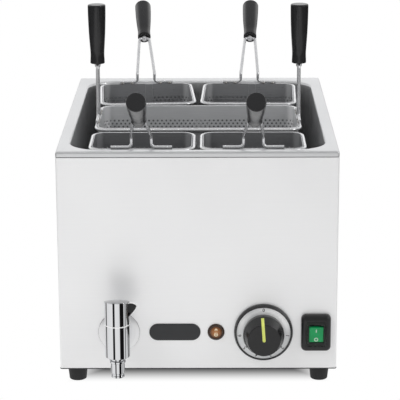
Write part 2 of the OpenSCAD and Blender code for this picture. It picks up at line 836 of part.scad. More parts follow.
// Half outline of the knob, grown by g
module knob_outline(g) {
  top = knob_h + g;
  polygon([
    [0, 0], [knob_d / 2 + g, 0], [knob_d / 2 + g, knob_skirt], [knob_face_d / 2 + g, top - knob_edge],
    [knob_face_d / 2 - knob_edge + g, top], [0, top]
  ]);
}

// Knob with a groove for the pointer bar and a bore for the spindle
module control_knob() {
  color(black) on_panel(dial_x) translate([0, 0, knob_back]) difference() {
    rotate_extrude() knob_outline(0);
    pointer_shape();
    translate([0, 0, -cut]) cylinder(h = spindle_grip + cut, d = spindle_d + 2 * run_fit);
  }
}

module pointer_shape() {
  intersection() {
    difference() {
      rotate_extrude() knob_outline(pointer_proud);
      rotate_extrude() knob_outline(-pointer_depth);
    }
    rotate(pointer_turn) {
      translate([-pointer_w / 2, 0, knob_skirt + pointer_w]) cube([pointer_w, knob_d, knob_h]);
      translate([0, 0, knob_h - pointer_w]) cylinder(h = 2 * pointer_w, d = pointer_w);
    }
  }
}

module knob_pointer() {
  color("#CDD66A") on_panel(dial_x) translate([0, 0, knob_back]) pointer_shape();
}

// Slab with round corners on the panel
module switch_slab(w, h, r, z, t) {
  translate([0, 0, z]) linear_extrude(t) rounded_rect(w, h, r, $fn = 32);
}

// Splash-proof switch frame
module switch_frame() {
  color(black) on_panel(switch_x) difference() {
    hull() {
      switch_slab(switch_w, switch_h, frame_r, 0, switch_rise / 3);
      switch_slab(switch_w - 2 * frame_inset, switch_h - 2 * frame_inset, frame_r - cover_t, 0, switch_rise);
    }
    translate([0, 0, switch_rise / 2]) cube([window_w, window_h, 4 * switch_rise], center = true);
    translate([0, 0, rocker_axis]) rotate([0, 90, 0])
      cylinder(h = window_w + 2 * pivot_l + 2 * free, d = pivot_d + 2 * run_fit, center = true);
  }
}

module switch_body() {
  color(black) on_panel(switch_x) translate([0, 0, -switch_body_l]) difference() {
    linear_extrude(switch_body_l)
      square([switch_hole_w - 2 * hair, switch_hole_h - 2 * hair], center = true);
    translate([0, 0, switch_wall])
      linear_extrude(switch_body_l) square([window_w, window_h], center = true);
  }
}

// Green rocker on its two pivot pins, tipped to its rest side
module switch_rocker() {
  back = rocker_depth - rocker_pivot;
  color("#0E9A4F") on_panel(switch_x) translate([0, 0, rocker_axis]) rotate([rocker_tilt, 0, 0]) {
    rotate([90, 0, 90]) linear_extrude(rocker_w, center = true) polygon([
      [-rocker_h / 2, rocker_pivot], [0, rocker_pivot - rocker_dip], [rocker_h / 2, rocker_pivot],
      [rocker_h / 2 - rocker_edge, 0], [rocker_h / 4, -back], [-rocker_h / 4, -back],
      [-rocker_h / 2 + rocker_edge, 0]
    ]);
    rotate([0, 90, 0])
      cylinder(h = rocker_w + 2 * free + 2 * pivot_l, d = pivot_d, center = true);
  }
}

// Clear cover over the rocker
module switch_cover() {
  color("#BFD8CC", 0.4) on_panel(switch_x) translate([0, 0, switch_rise]) difference() {
    cover_block(0, cover_rise);
    translate([0, 0, -cut]) cover_block(cover_t, cover_rise - cover_t + cut);
  }
}

// Tapered block of the cover's outline, drawn in by the given amount
module cover_block(in, h) {
  w = cover_w - 2 * in;
  d = cover_h - 2 * in;
  r = cover_r - in;
  hull() {
    switch_slab(w, d, r, 0, h / cover_rise);
    switch_slab(w - 2 * cover_taper, d - 2 * cover_taper, r - cover_taper, 0, h);
  }
}

// Mains terminals on the base plate
module terminal_block() {
  step = block_w / terminals;
  color("#E8E4DA") translate([gland_x - gland_cap_d / 2, back_y - 4 * block_d, base_z + sheet]) difference() {
    cube([block_w, block_d, block_h]);
    for (k = [0:terminals - 1])
      translate([(k + 0.5) * step, block_d / 2, block_h / 2]) cylinder(h = block_h, d = screw_head_d);
  }
}

// Cable gland in the rear panel, open for a mains cable
module cable_gland() {
  color(black) translate([gland_x, back_y, gland_z]) rotate([-90, 0, 0]) difference() {
    union() {
      translate([0, 0, -sheet - gland_l / 2]) cylinder(h = gland_l / 2 + sheet, d = gland_d);
      cylinder(h = gland_l / 3, d = gland_cap_d, $fn = 6);
      translate([0, 0, gland_l / 3]) cylinder(h = gland_l * 2 / 3, d1 = gland_neck_d, d2 = gland_d);
    }
    translate([0, 0, -gland_l]) cylinder(h = 3 * gland_l, d = cable_d);
  }
}

// Places a child at a basket, its handle side along the child's +Y
module at_basket(b) {
  translate([b[0], b[1], 0]) rotate(b[4]) children();
}

// Perforated wall of a basket: one folded band, its round corners plain
module basket_wall(b) {
  w = b[2] - 2 * wire_d;
  d = b[3] - 2 * wire_d;
  h = basket_h - floor_lift;
  color(steel) at_basket(b) translate([0, 0, basket_z + floor_lift]) for (s = [0, 180]) rotate(s) {
    translate([0, d / 2, 0]) rotate([90, 0, 0]) linear_extrude(perf_sheet)
      perforated_side(w - 2 * basket_r, h);
    rotate(90) translate([0, w / 2, 0]) rotate([90, 0, 0]) linear_extrude(perf_sheet)
      perforated_side(d - 2 * basket_r, h);
    for (x = [-1, 1]) translate([x * (w / 2 - basket_r), d / 2 - basket_r, 0])
      linear_extrude(h) difference() {
        intersection() {
          circle(basket_r);
          translate([(x - 1) / 2 * basket_r, 0]) square(basket_r);
        }
        circle(basket_r - perf_sheet);
      }
  }
}

// Flat side with its staggered drain holes under the plain band
module perforated_side(l, h) {
  row = hole_pitch * sin(60);
  rows = floor((h - plain_band - hole_pitch) / row);
  difference() {
    translate([-l / 2, 0]) square([l, h]);
    for (k = [0:rows]) translate([0, h - plain_band - hole_d / 2 - k * row])
      hole_row(l, k) circle(d = hole_d);
  }
}

// One row of hole places along X, odd rows shifted half a pitch
module hole_row(l, k) {
  n = floor((l - hole_d) / hole_pitch) - k % 2;
  if (n >= 0) for (i = [0:n]) translate([(i - n / 2) * hole_pitch, 0, 0]) children();
}

// Perforated floor tray under the wall
module basket_floor(b) {
  w = b[2] - 2 * wire_d;
  d = b[3] - 2 * wire_d;
  row = hole_pitch * sin(60);
  rows = floor((d - 2 * basket_r) / row);
  color(steel) at_basket(b) translate([0, 0, basket_z]) {
    linear_extrude(perf_sheet) difference() {
      rounded_rect(w, d, basket_r);
      for (k = [0:rows]) translate([0, (k - rows / 2) * row])
        hole_row(w - 2 * basket_r, k) circle(d = hole_d);
    }
    translate([0, 0, perf_sheet]) linear_extrude(floor_lift - perf_sheet) difference() {
      rounded_rect(w, d, basket_r);
      rounded_rect(w - 2 * perf_sheet, d - 2 * perf_sheet, basket_r - perf_sheet);
    }
  }
}

// Rim wire around the outside of the wall's top edge
module basket_rim(b) {
  w = b[2] - wire_d;
  d = b[3] - wire_d;
  r = basket_r + wire_d / 2;
  color(chrome_c) at_basket(b) translate([0, 0, rim_z]) {
    for (s = [0, 180]) {
      rotate(s) translate([0, d / 2, 0]) rotate([0, 90, 0])
        cylinder(h = w - 2 * r, d = wire_d, center = true);
      rotate(s) translate([w / 2, 0, 0]) rotate([90, 0, 0])
        cylinder(h = d - 2 * r, d = wire_d, center = true);
    }
    for (q = [[1, 1, 0], [-1, 1, 90], [-1, -1, 180], [1, -1, 270]])
      translate([q[0] * (w / 2 - r), q[1] * (d / 2 - r), 0]) rotate(q[2])
        rotate_extrude(angle = 90) translate([r, 0]) circle(d = wire_d);
  }
}

// Bent-wire handle on a rim: feet along X, legs up, then leaning towards +Y by the given angle
function bail_point(x, lean, run) = [x, run * sin(lean), leg_rise + run * cos(lean)];
function bail_path(lean, run) = [
  [-leg_gap / 2 - handle_foot, 0, 0], [-leg_gap / 2, 0, 0], bail_point(-leg_gap / 2, lean, 0),
  bail_point(-neck_gap / 2, lean, run), bail_point(neck_gap / 2, lean, run),
  bail_point(leg_gap / 2, lean, 0), [leg_gap / 2, 0, 0], [leg_gap / 2 + handle_foot, 0, 0]
];

module bail(lean, run) {
  swept_wire(bail_path(lean, run), bend_r, wire_d);
  translate(bail_point(0, lean, run)) rotate([-lean, 0, 0]) cylinder(h = wire_d / 2 + stud_l, d = stud_d);
}

// Grip on a handle's stud: rounded end, fullest below the middle, narrow neck
module grip(lean, run) {
  neck = grip_neck_d / 2;
  swell = grip_d / 2 - neck;
  end = neck + grip_end_share * swell;
  round_z = grip_l - grip_end_r;
  translate(bail_point(0, lean, run)) rotate([-lean, 0, 0]) translate([0, 0, wire_d / 2]) difference() {
    rotate_extrude() {
      polygon([
        [0, 0], [neck - grip_neck_edge, 0], [neck, grip_neck_edge],
        for (s = GRIP_SHAPE) [neck + s[1] * swell, s[0] * grip_l], [end, round_z], [0, round_z]
      ]);
      translate([0, round_z - cut]) square([end - grip_end_r, grip_end_r + cut]);
      intersection() {
        translate([end - grip_end_r, round_z]) circle(grip_end_r);
        translate([0, round_z - grip_end_r]) square([end, 2 * grip_end_r]);
      }
    }
    translate([0, 0, -cut]) cylinder(h = stud_l + cut, d = stud_d + 2 * hair);
  }
}

// Places a small basket's handle on the middle of its handle side
module at_handle(b) {
  at_basket(b) translate([0, (b[3] - wire_d) / 2, handle_z]) children();
}

// Places the middle basket's handles on its two ends
module at_end_handles() {
  for (s = [1, -1])
    translate([s * (MIDDLE[2] - wire_d) / 2, MIDDLE[1], handle_z]) rotate(-90 * s) children();
}

module basket_handle(b) {
  color(chrome_c) at_handle(b) bail(b[5], b[6]);
}

module basket_grip(b) {
  color(black) at_handle(b) grip(b[5], b[6]);
}

module middle_basket_handles() {
  color(chrome_c) at_end_handles() bail(MIDDLE[5], MIDDLE[6]);
}

module middle_basket_grips() {
  color(black) at_end_handles() grip(MIDDLE[5], MIDDLE[6]);
}

body_shell();
rear_panel();
base_plate();
rubber_feet();
foot_screws();
panel_screws();
basin();
false_bottom();
heating_element();
element_nuts();
thermostat_probe();
drain_elbow();
tap_locknut();
tap_rosette();
tap_body();
tap_spout();
tap_stem();
tap_handle();
badge_plate();
lamp_bezel();
lamp_lens();
lamp_body();
dial_bezel();
dial_face();
thermostat_body();
thermostat_spindle();
control_knob();
knob_pointer();
switch_frame();
switch_body();
switch_rocker();
switch_cover();
terminal_block();
cable_gland();
basket_wall(FRONT_LEFT);  // front_left_basket_wall
basket_floor(FRONT_LEFT);  // front_left_basket_floor
basket_rim(FRONT_LEFT);  // front_left_basket_rim
basket_handle(FRONT_LEFT);  // front_left_basket_handle
basket_grip(FRONT_LEFT);  // front_left_basket_grip
basket_wall(FRONT_RIGHT);  // front_right_basket_wall
basket_floor(FRONT_RIGHT);  // front_right_basket_floor
basket_rim(FRONT_RIGHT);  // front_right_basket_rim
basket_handle(FRONT_RIGHT);  // front_right_basket_handle
basket_grip(FRONT_RIGHT);  // front_right_basket_grip
basket_wall(MIDDLE);  // middle_basket_wall
basket_floor(MIDDLE);  // middle_basket_floor
basket_rim(MIDDLE);  // middle_basket_rim
middle_basket_handles();
middle_basket_grips();
basket_wall(BACK_LEFT);  // back_left_basket_wall
basket_floor(BACK_LEFT);  // back_left_basket_floor
basket_rim(BACK_LEFT);  // back_left_basket_rim
basket_handle(BACK_LEFT);  // back_left_basket_handle
basket_grip(BACK_LEFT);  // back_left_basket_grip
basket_wall(BACK_RIGHT);  // back_right_basket_wall
basket_floor(BACK_RIGHT);  // back_right_basket_floor
basket_rim(BACK_RIGHT);  // back_right_basket_rim
basket_handle(BACK_RIGHT);  // back_right_basket_handle
basket_grip(BACK_RIGHT);  // back_right_basket_grip
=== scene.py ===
"""Countertop pasta cooker: fine perforation, bent wire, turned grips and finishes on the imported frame."""
import logging
import math
from dataclasses import dataclass, field
from enum import Enum
from typing import Any, Callable, Optional, Sequence

import bpy
import numpy as np
from mathutils import Matrix, Vector


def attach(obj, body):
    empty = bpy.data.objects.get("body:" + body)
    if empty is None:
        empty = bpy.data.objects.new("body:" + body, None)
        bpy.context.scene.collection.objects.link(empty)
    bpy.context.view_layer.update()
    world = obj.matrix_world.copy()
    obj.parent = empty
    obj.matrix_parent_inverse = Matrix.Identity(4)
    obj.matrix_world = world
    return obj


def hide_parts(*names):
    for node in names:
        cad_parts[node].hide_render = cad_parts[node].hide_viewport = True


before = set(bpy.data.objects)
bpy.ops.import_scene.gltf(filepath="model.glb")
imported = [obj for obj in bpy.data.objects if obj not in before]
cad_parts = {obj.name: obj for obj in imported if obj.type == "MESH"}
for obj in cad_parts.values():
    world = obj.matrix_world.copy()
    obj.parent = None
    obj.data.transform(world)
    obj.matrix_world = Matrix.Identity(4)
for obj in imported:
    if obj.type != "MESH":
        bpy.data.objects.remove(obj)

LOG = logging.getLogger("pasta_cooker")
MM = 0.001
TURN = 2.0 * math.pi
Array = np.ndarray
Point = tuple[float, float, float]
Pairs = tuple[tuple[float, float], ...]
Stops = tuple[tuple[float, str], ...]
# Shader nodes, what may feed an input of one, and the setting for a soft ramp
Tree, Node, Socket = bpy.types.NodeTree, bpy.types.Node, bpy.types.NodeSocket
Feed = Socket | Node
SMOOTH = {"interpolation_type": "SMOOTHSTEP"}

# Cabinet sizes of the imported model, in millimetres
BODY_W, BODY_D = 340.0, 440.0
FRONT_Y = -BODY_D / 2
CASING_TOP_Z, FLANGE_Z = 288.0, 295.5
SHEET = 1.2
# The row of fittings on the front panel
CONTROL_Z = 68.0
TAP_X, BADGE_X, LAMP_X, DIAL_X, SWITCH_X = -96.85, -28.4, 22.0, 80.1, 144.3
WHITE = "#FFFFFF"
# Turn in radians, radius and length in millimetres that count as none
NO_TURN, NO_RADIUS, NO_LENGTH = 1e-4, 1e-6, 1e-9


def linear(code: str) -> tuple[float, float, float, float]:
    """Turns an sRGB hex colour into linear light: a power curve above the toe, a straight line below it.

    Args:
        code: Colour such as "#D9DADB".

    Returns:
        Red, green, blue and full alpha.
    """
    parts = np.array([int(code[i:i + 2], 16) for i in (1, 3, 5)]) / 255.0
    light = np.where(parts <= 0.04045, parts / 12.92, ((parts + 0.055) / 1.055) ** 2.4)
    return (*map(float, light), 1.0)


def add_node(tree: Tree, kind: str, settings: Optional[dict[str, Any]] = None,
             inputs: Optional[dict[str | int, Any]] = None,
             stops: Sequence[tuple[float, str]] = ()) -> Node:
    """Adds one node with its settings, its input values or links, and a ramp's colour stops.

    Args:
        tree: Node tree that gets the node.
        kind: Node type, after the word ShaderNode.
        settings: Attributes of the node.
        inputs: Input name or number to a value, or to the socket, or node by its first output, that feeds it.
        stops: Places and hex colours of a colour ramp.

    Returns:
        The new node.
    """
    node = tree.nodes.new(f"ShaderNode{kind}")
    for key, value in (settings or {}).items():
        setattr(node, key, value)
    for key, value in (inputs or {}).items():
        if isinstance(value, Node):
            value = value.outputs[0]
        if isinstance(value, Socket):
            tree.links.new(value, node.inputs[key])
        else:
            node.inputs[key].default_value = value
    for number, (place, code) in enumerate(stops):
        ramp = node.color_ramp.elements
        stop = ramp[number] if number < 2 else ramp.new(place)
        stop.position = place
        stop.color = linear(code)
    return node


def turn_share(tree: Tree, across: Feed, along: Feed) -> Socket:
    """Angle of a direction as a share of a turn: arctan(across / along), with -180 to 180 degrees as 0 to 1.

    Args:
        tree: Node tree that gets the nodes.
        across: The direction's part to the right.
        along: Its part straight ahead, which lies at a half.

    Returns:
        Share of a turn.
    """
    angle = add_node(tree, "Math", {"operation": "ARCTAN2"}, {0: across, 1: along})
    return add_node(tree, "MapRange", inputs={
        "Value": angle, "From Min": -math.pi, "From Max": math.pi}).outputs[0]


@dataclass(frozen=True)
class Finish:
    """A real material, by its colour, its metal share and its roughness."""

    name: str
    colour: str
    metallic: float = 0.0
    roughness: float = 0.5
    sockets: tuple[tuple[str, Any], ...] = ()

    def material(self) -> bpy.types.Material:
        """Makes the finish's material on first use.

        Returns:
            The material.
        """
        made = bpy.data.materials.get(self.name)
        if made is None:
            made = bpy.data.materials.new(self.name)
            made.use_nodes = True
            tree = made.node_tree
            tree.nodes.clear()
            shader = add_node(tree, "BsdfPrincipled", inputs={
                "Base Color": linear(self.colour), "Metallic": self.metallic,
                "Roughness": self.roughness, **dict(self.sockets)})
            add_node(tree, "OutputMaterial", inputs={"Surface": shader.outputs["BSDF"]})
            self.dress(tree, shader)
        return made

    def dress(self, tree: Tree, shader: Node) -> None:
        """Adds the surface's own pattern; a plain finish has none."""

    def noise(self, tree: Tree, size_mm: Sequence[float], detail: float = 2.0) -> Socket:
        """Cloud noise with grains of the given size along X, Y and Z.

        Args:
            tree: Node tree of the material.
            size_mm: Grain size along each axis.
            detail: Finer octaves.

        Returns:
            Noise from 0 to 1.
        """
        place = add_node(tree, "TexCoord").outputs["Object"]
        scaled = add_node(tree, "Mapping", inputs={
            "Vector": place, "Scale": tuple(1.0 / (s * MM) for s in size_mm)})
        return add_node(tree, "TexNoise", inputs={
            "Vector": scaled, "Scale": 1.0, "Detail": detail}).outputs[0]

    def facing(self, tree: Tree) -> Sequence[Socket]:
        """X, Y and Z of the direction that the surface faces."""
        normal = add_node(tree, "NewGeometry").outputs["Normal"]
        return add_node(tree, "SeparateXYZ", inputs={0: normal}).outputs

    def base(self, shader: Node) -> Socket:
        """What feeds the base colour so far."""
        return shader.inputs["Base Color"].links[0].from_socket

    def tint(self, tree: Tree, shader: Node, share: Feed, low: str | Feed, high: str | Feed) -> None:
        """Runs the base colour from one colour to another.

        Args:
            tree: Node tree of the material.
            shader: Its Principled shader.
            share: Where the colour stands, 0 at low and 1 at high.
            low: Hex colour, or the output that gives it.
            high: Hex colour, or the output that gives it.
        """
        ends = [linear(tone) if isinstance(tone, str) else tone for tone in (low, high)]
        mixed = add_node(tree, "Mix", {"data_type": "RGBA"}, {0: share, 6: ends[0], 7: ends[1]})
        tree.links.new(mixed.outputs[2], shader.inputs["Base Color"])

    def spread(self, tree: Tree, shader: Node, share: Feed, swing: float) -> None:
        """Lets the roughness swing about its own value."""
        ranged = add_node(tree, "MapRange", inputs={
            "Value": share, "To Min": self.roughness - swing, "To Max": self.roughness + swing})
        tree.links.new(ranged.outputs[0], shader.inputs["Roughness"])

    def relief(self, tree: Tree, shader: Node, height: Feed, depth_mm: float, strength: float) -> None:
        """Bumps the surface by a height of the given depth."""
        bump = add_node(tree, "Bump", inputs={
            "Height": height, "Distance": depth_mm * MM, "Strength": strength})
        tree.links.new(bump.outputs[0], shader.inputs["Normal"])


@dataclass(frozen=True)
class BrushedSheet(Finish):
    """Stainless sheet brushed with a belt: long fine scratches across, and faint cloudy handling marks."""

    metallic: float = 1.0
    roughness: float = 0.36
    dark: str = "#C9CACB"
    streak_mm: float = 70.0
    # Real scratches are about 0.1 mm wide; they are drawn wider so that they show in the render
    width_mm: float = 0.9
    cloud_mm: float = 90.0
    depth_mm: float = 0.02
    strength: float = 0.12
    swing: float = 0.06
    # How far the belt's marks draw reflections out upright, 0 to 1
    drawn: float = 0.0

    def dress(self, tree: Tree, shader: Node) -> None:
        """Streaks change colour, roughness and height together; the colour is the mean of streaks and clouds.

        Args:
            tree: Node tree of the material.
            shader: Its Principled shader.
        """
        streaks = self.noise(tree, (self.streak_mm, self.width_mm, self.width_mm), 3.0)
        clouds = self.noise(tree, (self.cloud_mm,) * 3, 1.0)
        both = add_node(tree, "Math", {"operation": "ADD"}, {0: streaks, 1: clouds})
        mean = add_node(tree, "Math", {"operation": "MULTIPLY", "use_clamp": True}, {0: both, 1: 0.5})
        self.tint(tree, shader, mean, self.dark, self.colour)
        self.spread(tree, shader, streaks, self.swing)
        self.relief(tree, shader, streaks, self.depth_mm, self.strength)
        if self.drawn:
            upright_way = add_node(tree, "CombineXYZ", inputs={"Z": 1.0})
            shader.inputs["Anisotropic"].default_value = self.drawn
            tree.links.new(upright_way.outputs[0], shader.inputs["Tangent"])


@dataclass(frozen=True)
class FoldedSheet(BrushedSheet):
    """Brushed sheet whose flat top is folded down to a lip, with painted shade that makes the lip greyer than the
    top.
    """

    # Painted shade: colour of the lip, and the height above which the lip is shaded
    lip: str = "#DCDDDE"
    lip_mm: float = 286.0
    # Upward part of the surface's direction at which it counts as top, and as fully shaded lip
    top_up: float = 0.9
    lip_up: float = 0.4

    def dress(self, tree: Tree, shader: Node) -> None:
        """The lip's painted shade falls where the surface turns away from upwards, above the lip's height.

        Args:
            tree: Node tree of the material.
            shader: Its Principled shader.
        """
        super().dress(tree, shader)
        place = add_node(tree, "SeparateXYZ", inputs={0: add_node(tree, "TexCoord").outputs["Object"]})
        high = add_node(tree, "Math", {"operation": "GREATER_THAN"}, {
            0: place.outputs[2], 1: self.lip_mm * MM})
        share = add_node(tree, "MapRange", inputs={
            "Value": self.facing(tree)[2], "From Min": self.top_up, "From Max": self.lip_up,
            "To Max": high})
        self.tint(tree, shader, share, self.base(shader), self.lip)


@dataclass(frozen=True)
class PunchedSheet(BrushedSheet):
    """Punched and pickled sheet: satin, with a painted highlight in its bends and painted shade where little light
    gets in behind it.
    """

    roughness: float = 0.3
    streak_mm: float = 25.0
    corner: str = "#F4F4F5"
    # Bend of the surface, from none on a flat to 0.5 in a corner's middle, between which the painted highlight
    # brightens it
    bend_from: float = 0.2
    bend_to: float = 0.5
    # Painted shade: its colour where the surface sees little open space, and how far it looks for that space
    gap: str = "#0C0C0D"
    gap_mm: float = 40.0
    # Share of open space at which the painted shade is darkest, and at which it ends
    gap_shut: float = 0.1
    gap_open: float = 0.6

    def dress(self, tree: Tree, shader: Node) -> None:
        """The painted highlight is where X times Y of the surface's direction is large; the painted shade is where
        it sees little open space.

        Args:
            tree: Node tree of the material.
            shader: Its Principled shader.
        """
        super().dress(tree, shader)
        axes = self.facing(tree)
        turn = add_node(tree, "Math", {"operation": "MULTIPLY"}, {0: axes[0], 1: axes[1]})
        bend = add_node(tree, "Math", {"operation": "ABSOLUTE"}, {0: turn})
        bent_share = add_node(tree, "MapRange", SMOOTH, {
            "Value": bend, "From Min": self.bend_from, "From Max": self.bend_to})
        self.tint(tree, shader, bent_share, self.base(shader), self.corner)
        space = add_node(tree, "AmbientOcclusion", {"samples": 8}, {"Distance": self.gap_mm * MM})
        lit_share = add_node(tree, "MapRange", inputs={
            "Value": space.outputs["AO"], "From Min": self.gap_shut, "From Max": self.gap_open})
        self.tint(tree, shader, lit_share, self.gap, self.base(shader))


@dataclass(frozen=True)
class SmoothMetal(Finish):
    """Drawn, turned or plated metal: smooth, with faint wipe marks in its gloss."""

    metallic: float = 1.0
    roughness: float = 0.2
    dark: str = "#8E9092"
    mark_mm: float = 18.0
    swing: float = 0.03

    def dress(self, tree: Tree, shader: Node) -> None:
        """Wipe marks change the gloss and, slightly, the colour.

        Args:
            tree: Node tree of the material.
            shader: Its Principled shader.
        """
        marks = self.noise(tree, (self.mark_mm,) * 3, 4.0)
        self.tint(tree, shader, marks, self.dark, self.colour)
        self.spread(tree, shader, marks, self.swing)


@dataclass(frozen=True)
class MirrorPlate(Finish):
    """Mirror plating with painted reflections: dark bands painted where the surface faces the gaps between
    softboxes.
    """

    metallic: float = 1.0
    roughness: float = 0.06
    dark: str = "#141415"
    grey: str = "#6E7073"
    # Compass angle that the surface faces, in degrees right of the front, for each painted dark or grey reflection
    # band
    dark_bands: Pairs = (
        (-58.0, -52.0), (-16.0, -8.0), (16.0, 34.0), (59.5, 64.5))
    grey_bands: Pairs = ((42.0, 46.0), (68.0, 84.0))
    soft_deg: float = 1.6
    # Painted reflection on level faces: its colour, and the level part of the direction at which it is full, and
    # at which it ends
    lid: str = "#B9BABC"
    lid_full: float = 0.75
    lid_end: float = 0.5
    mark_mm: float = 18.0
    swing: float = 0.02

    def dress(self, tree: Tree, shader: Node) -> None:
        """The painted reflection bands are a ramp over the compass angle of the surface's direction, on its
        upright parts.

        Args:
            tree: Node tree of the material.
            shader: Its Principled shader.
        """
        axes = self.facing(tree)
        front = add_node(tree, "Math", {"operation": "MULTIPLY"}, {0: axes[1], 1: -1.0})
        stops = [(0.0, self.colour), (1.0, self.colour)]
        for code, bands in ((self.dark, self.dark_bands), (self.grey, self.grey_bands)):
            for start, end in bands:
                places = (start - self.soft_deg, start, end, end + self.soft_deg)
                codes = (self.colour, code, code, self.colour)
                stops += [((p + 180.0) / 360.0, c) for p, c in zip(places, codes)]
        banded = add_node(tree, "ValToRGB", inputs={0: turn_share(tree, axes[0], front)}, stops=stops)
        level = add_node(tree, "Math", {"operation": "ABSOLUTE"}, {0: axes[2]})
        upright_share = add_node(tree, "MapRange", inputs={
            "Value": level, "From Min": self.lid_full, "From Max": self.lid_end})
        self.tint(tree, shader, upright_share, self.lid, banded)
        self.spread(tree, shader, self.noise(tree, (self.mark_mm,) * 3, 4.0), self.swing)


@dataclass(frozen=True)
class Moulded(Finish):
    """Injection-moulded plastic or rubber: an even colour with the mould's fine spark-eroded grain."""

    pale: str = "#2E2E30"
    # Real grain is about 0.1 mm; it is drawn coarser so that it shows in the render
    grit_mm: float = 0.8
    cloud_mm: float = 14.0
    depth_mm: float = 0.03
    strength: float = 0.15
    swing: float = 0.04

    def dress(self, tree: Tree, shader: Node) -> None:
        """Grain bumps the surface and varies its gloss; soft clouds vary its colour.

        Args:
            tree: Node tree of the material.
            shader: Its Principled shader.
        """
        grit = self.noise(tree, (self.grit_mm,) * 3)
        self.tint(tree, shader, self.noise(tree, (self.cloud_mm,) * 3), self.colour, self.pale)
        self.spread(tree, shader, grit, self.swing)
        self.relief(tree, shader, grit, self.depth_mm, self.strength)


@dataclass(frozen=True)
class CoredLens(Finish):
    """Clear coloured moulding with painted light: a painted glow in the middle that deepens to painted shade at
    the edge.
    """

    # Colour of the painted shade at the edge; the painted glow holds the lens colour out to its core radius
    edge: str = "#6E4527"
    centre_mm: Point = (0.0, 0.0, 0.0)
    core_mm: float = 2.2
    reach_mm: float = 7.0
    mark_mm: float = 3.0
    swing: float = 0.03

    def dress(self, tree: Tree, shader: Node) -> None:
        """The painted glow and shade are a ramp over the distance from the lens's middle.

        Args:
            tree: Node tree of the material.
            shader: Its Principled shader.
        """
        place = add_node(tree, "TexCoord").outputs["Object"]
        away = add_node(tree, "VectorMath", {"operation": "DISTANCE"}, {
            0: place, 1: tuple(c * MM for c in self.centre_mm)})
        share = add_node(tree, "MapRange", inputs={
            "Value": away.outputs["Value"], "From Min": self.core_mm * MM, "From Max": self.reach_mm * MM})
        self.tint(tree, shader, share, self.colour, self.edge)
        self.spread(tree, shader, self.noise(tree, (self.mark_mm,) * 3), self.swing)


@dataclass(frozen=True)
class TurnedFace(Finish):
    """Aluminium dial face turned on a lathe: concentric tool marks, and painted highlights, bright fans where they
    face the light.
    """

    metallic: float = 0.2
    roughness: float = 0.42
    # Share of a turn, clockwise from the bottom, and colour there: painted highlights, a broad fan at the upper
    # right and a faint one at the left
    fans: Stops = (
        (0.0, "#DCDDDE"), (0.25, "#E6E7E8"), (0.33, WHITE), (0.41, "#E6E7E8"), (0.5, "#F2F2F3"),
        (0.57, WHITE), (0.68, WHITE), (0.75, "#DCDDDE"), (1.0, "#DCDDDE"))
    centre_mm: Point = (0.0, 0.0, 0.0)
    # Real tool marks are about 0.2 mm apart; they are drawn wider so that they show in the render
    ring_mm: float = 0.7
    depth_mm: float = 0.02
    strength: float = 0.2
    swing: float = 0.06

    def dress(self, tree: Tree, shader: Node) -> None:
        """The painted highlight fans are a ramp over the angle about the centre; the tool marks are noise on the
        radius.

        Args:
            tree: Node tree of the material.
            shader: Its Principled shader.
        """
        place = add_node(tree, "TexCoord").outputs["Object"]
        centred = add_node(tree, "Mapping", inputs={
            "Vector": place, "Location": tuple(-c * MM for c in self.centre_mm)}).outputs[0]
        axes = add_node(tree, "SeparateXYZ", inputs={0: centred}).outputs
        sheen = add_node(tree, "ValToRGB", inputs={0: turn_share(tree, axes[0], axes[2])}, stops=self.fans)
        tree.links.new(sheen.outputs[0], shader.inputs["Base Color"])
        radius = add_node(tree, "VectorMath", {"operation": "LENGTH"}, {0: centred})
        marks = add_node(tree, "TexNoise", {"noise_dimensions": "1D"}, {
            "W": radius.outputs["Value"], "Scale": 1.0 / (self.ring_mm * MM), "Detail": 2.0})
        self.spread(tree, shader, marks, self.swing)
        self.relief(tree, shader, marks, self.depth_mm, self.strength)


# Stainless sheet, belt-brushed: a pale even sheen, with reflections drawn out upright
CASING_STEEL = BrushedSheet("brushed_stainless_casing", WHITE, dark="#F6F6F7", metallic=0.62,
                            roughness=0.42, drawn=0.5)
# Stainless sheet, pressed and satin: a light top round the opening, with painted shade that greys the lip
TANK_STEEL = FoldedSheet("satin_stainless_tank", "#E8E9EA", dark="#CFD0D2", roughness=0.33, metallic=0.85,
                         streak_mm=40.0)
# Stainless sheet as rolled: a duller grey under the cabinet; the hem's dark line is painted shade, where a fold
# looks down
BASE_STEEL = BrushedSheet("plain_stainless_base", "#B4B5B7", dark="#98999B", roughness=0.4)
HEM_STEEL = BrushedSheet("folded_stainless_hem", "#505153", dark="#3C3D3F", roughness=0.45)
# Perforated stainless sheet, pickled: satin; the two darker copies are painted shade, for the back baskets and,
# darker still, for the front ones
BASKET_STEEL = PunchedSheet("perforated_stainless_sheet", "#E0E1E2", dark="#C4C5C7", metallic=0.6,
                            roughness=0.34)
PICKLED_BASKET_STEEL = PunchedSheet("pickled_perforated_stainless_sheet", "#C6C7C9", dark="#A4A5A8",
                                    metallic=0.72, corner="#E6E7E8")
WORN_BASKET_STEEL = PunchedSheet("used_perforated_stainless_sheet", "#B0B1B3", dark="#8E8F92",
                                 metallic=0.75, corner="#CFD0D2")
# Drawn stainless wire: bright, with a soft gloss left by the die
WIRE_STEEL = SmoothMetal("drawn_stainless_wire", "#EEEEEF", dark="#C4C5C8", metallic=0.75, roughness=0.16)
# Spot welds: small dull beads, slightly brown from the heat
WELD_STEEL = SmoothMetal("spot_weld_steel", "#C9C7C4", dark="#8B8782", roughness=0.34, mark_mm=2.0)
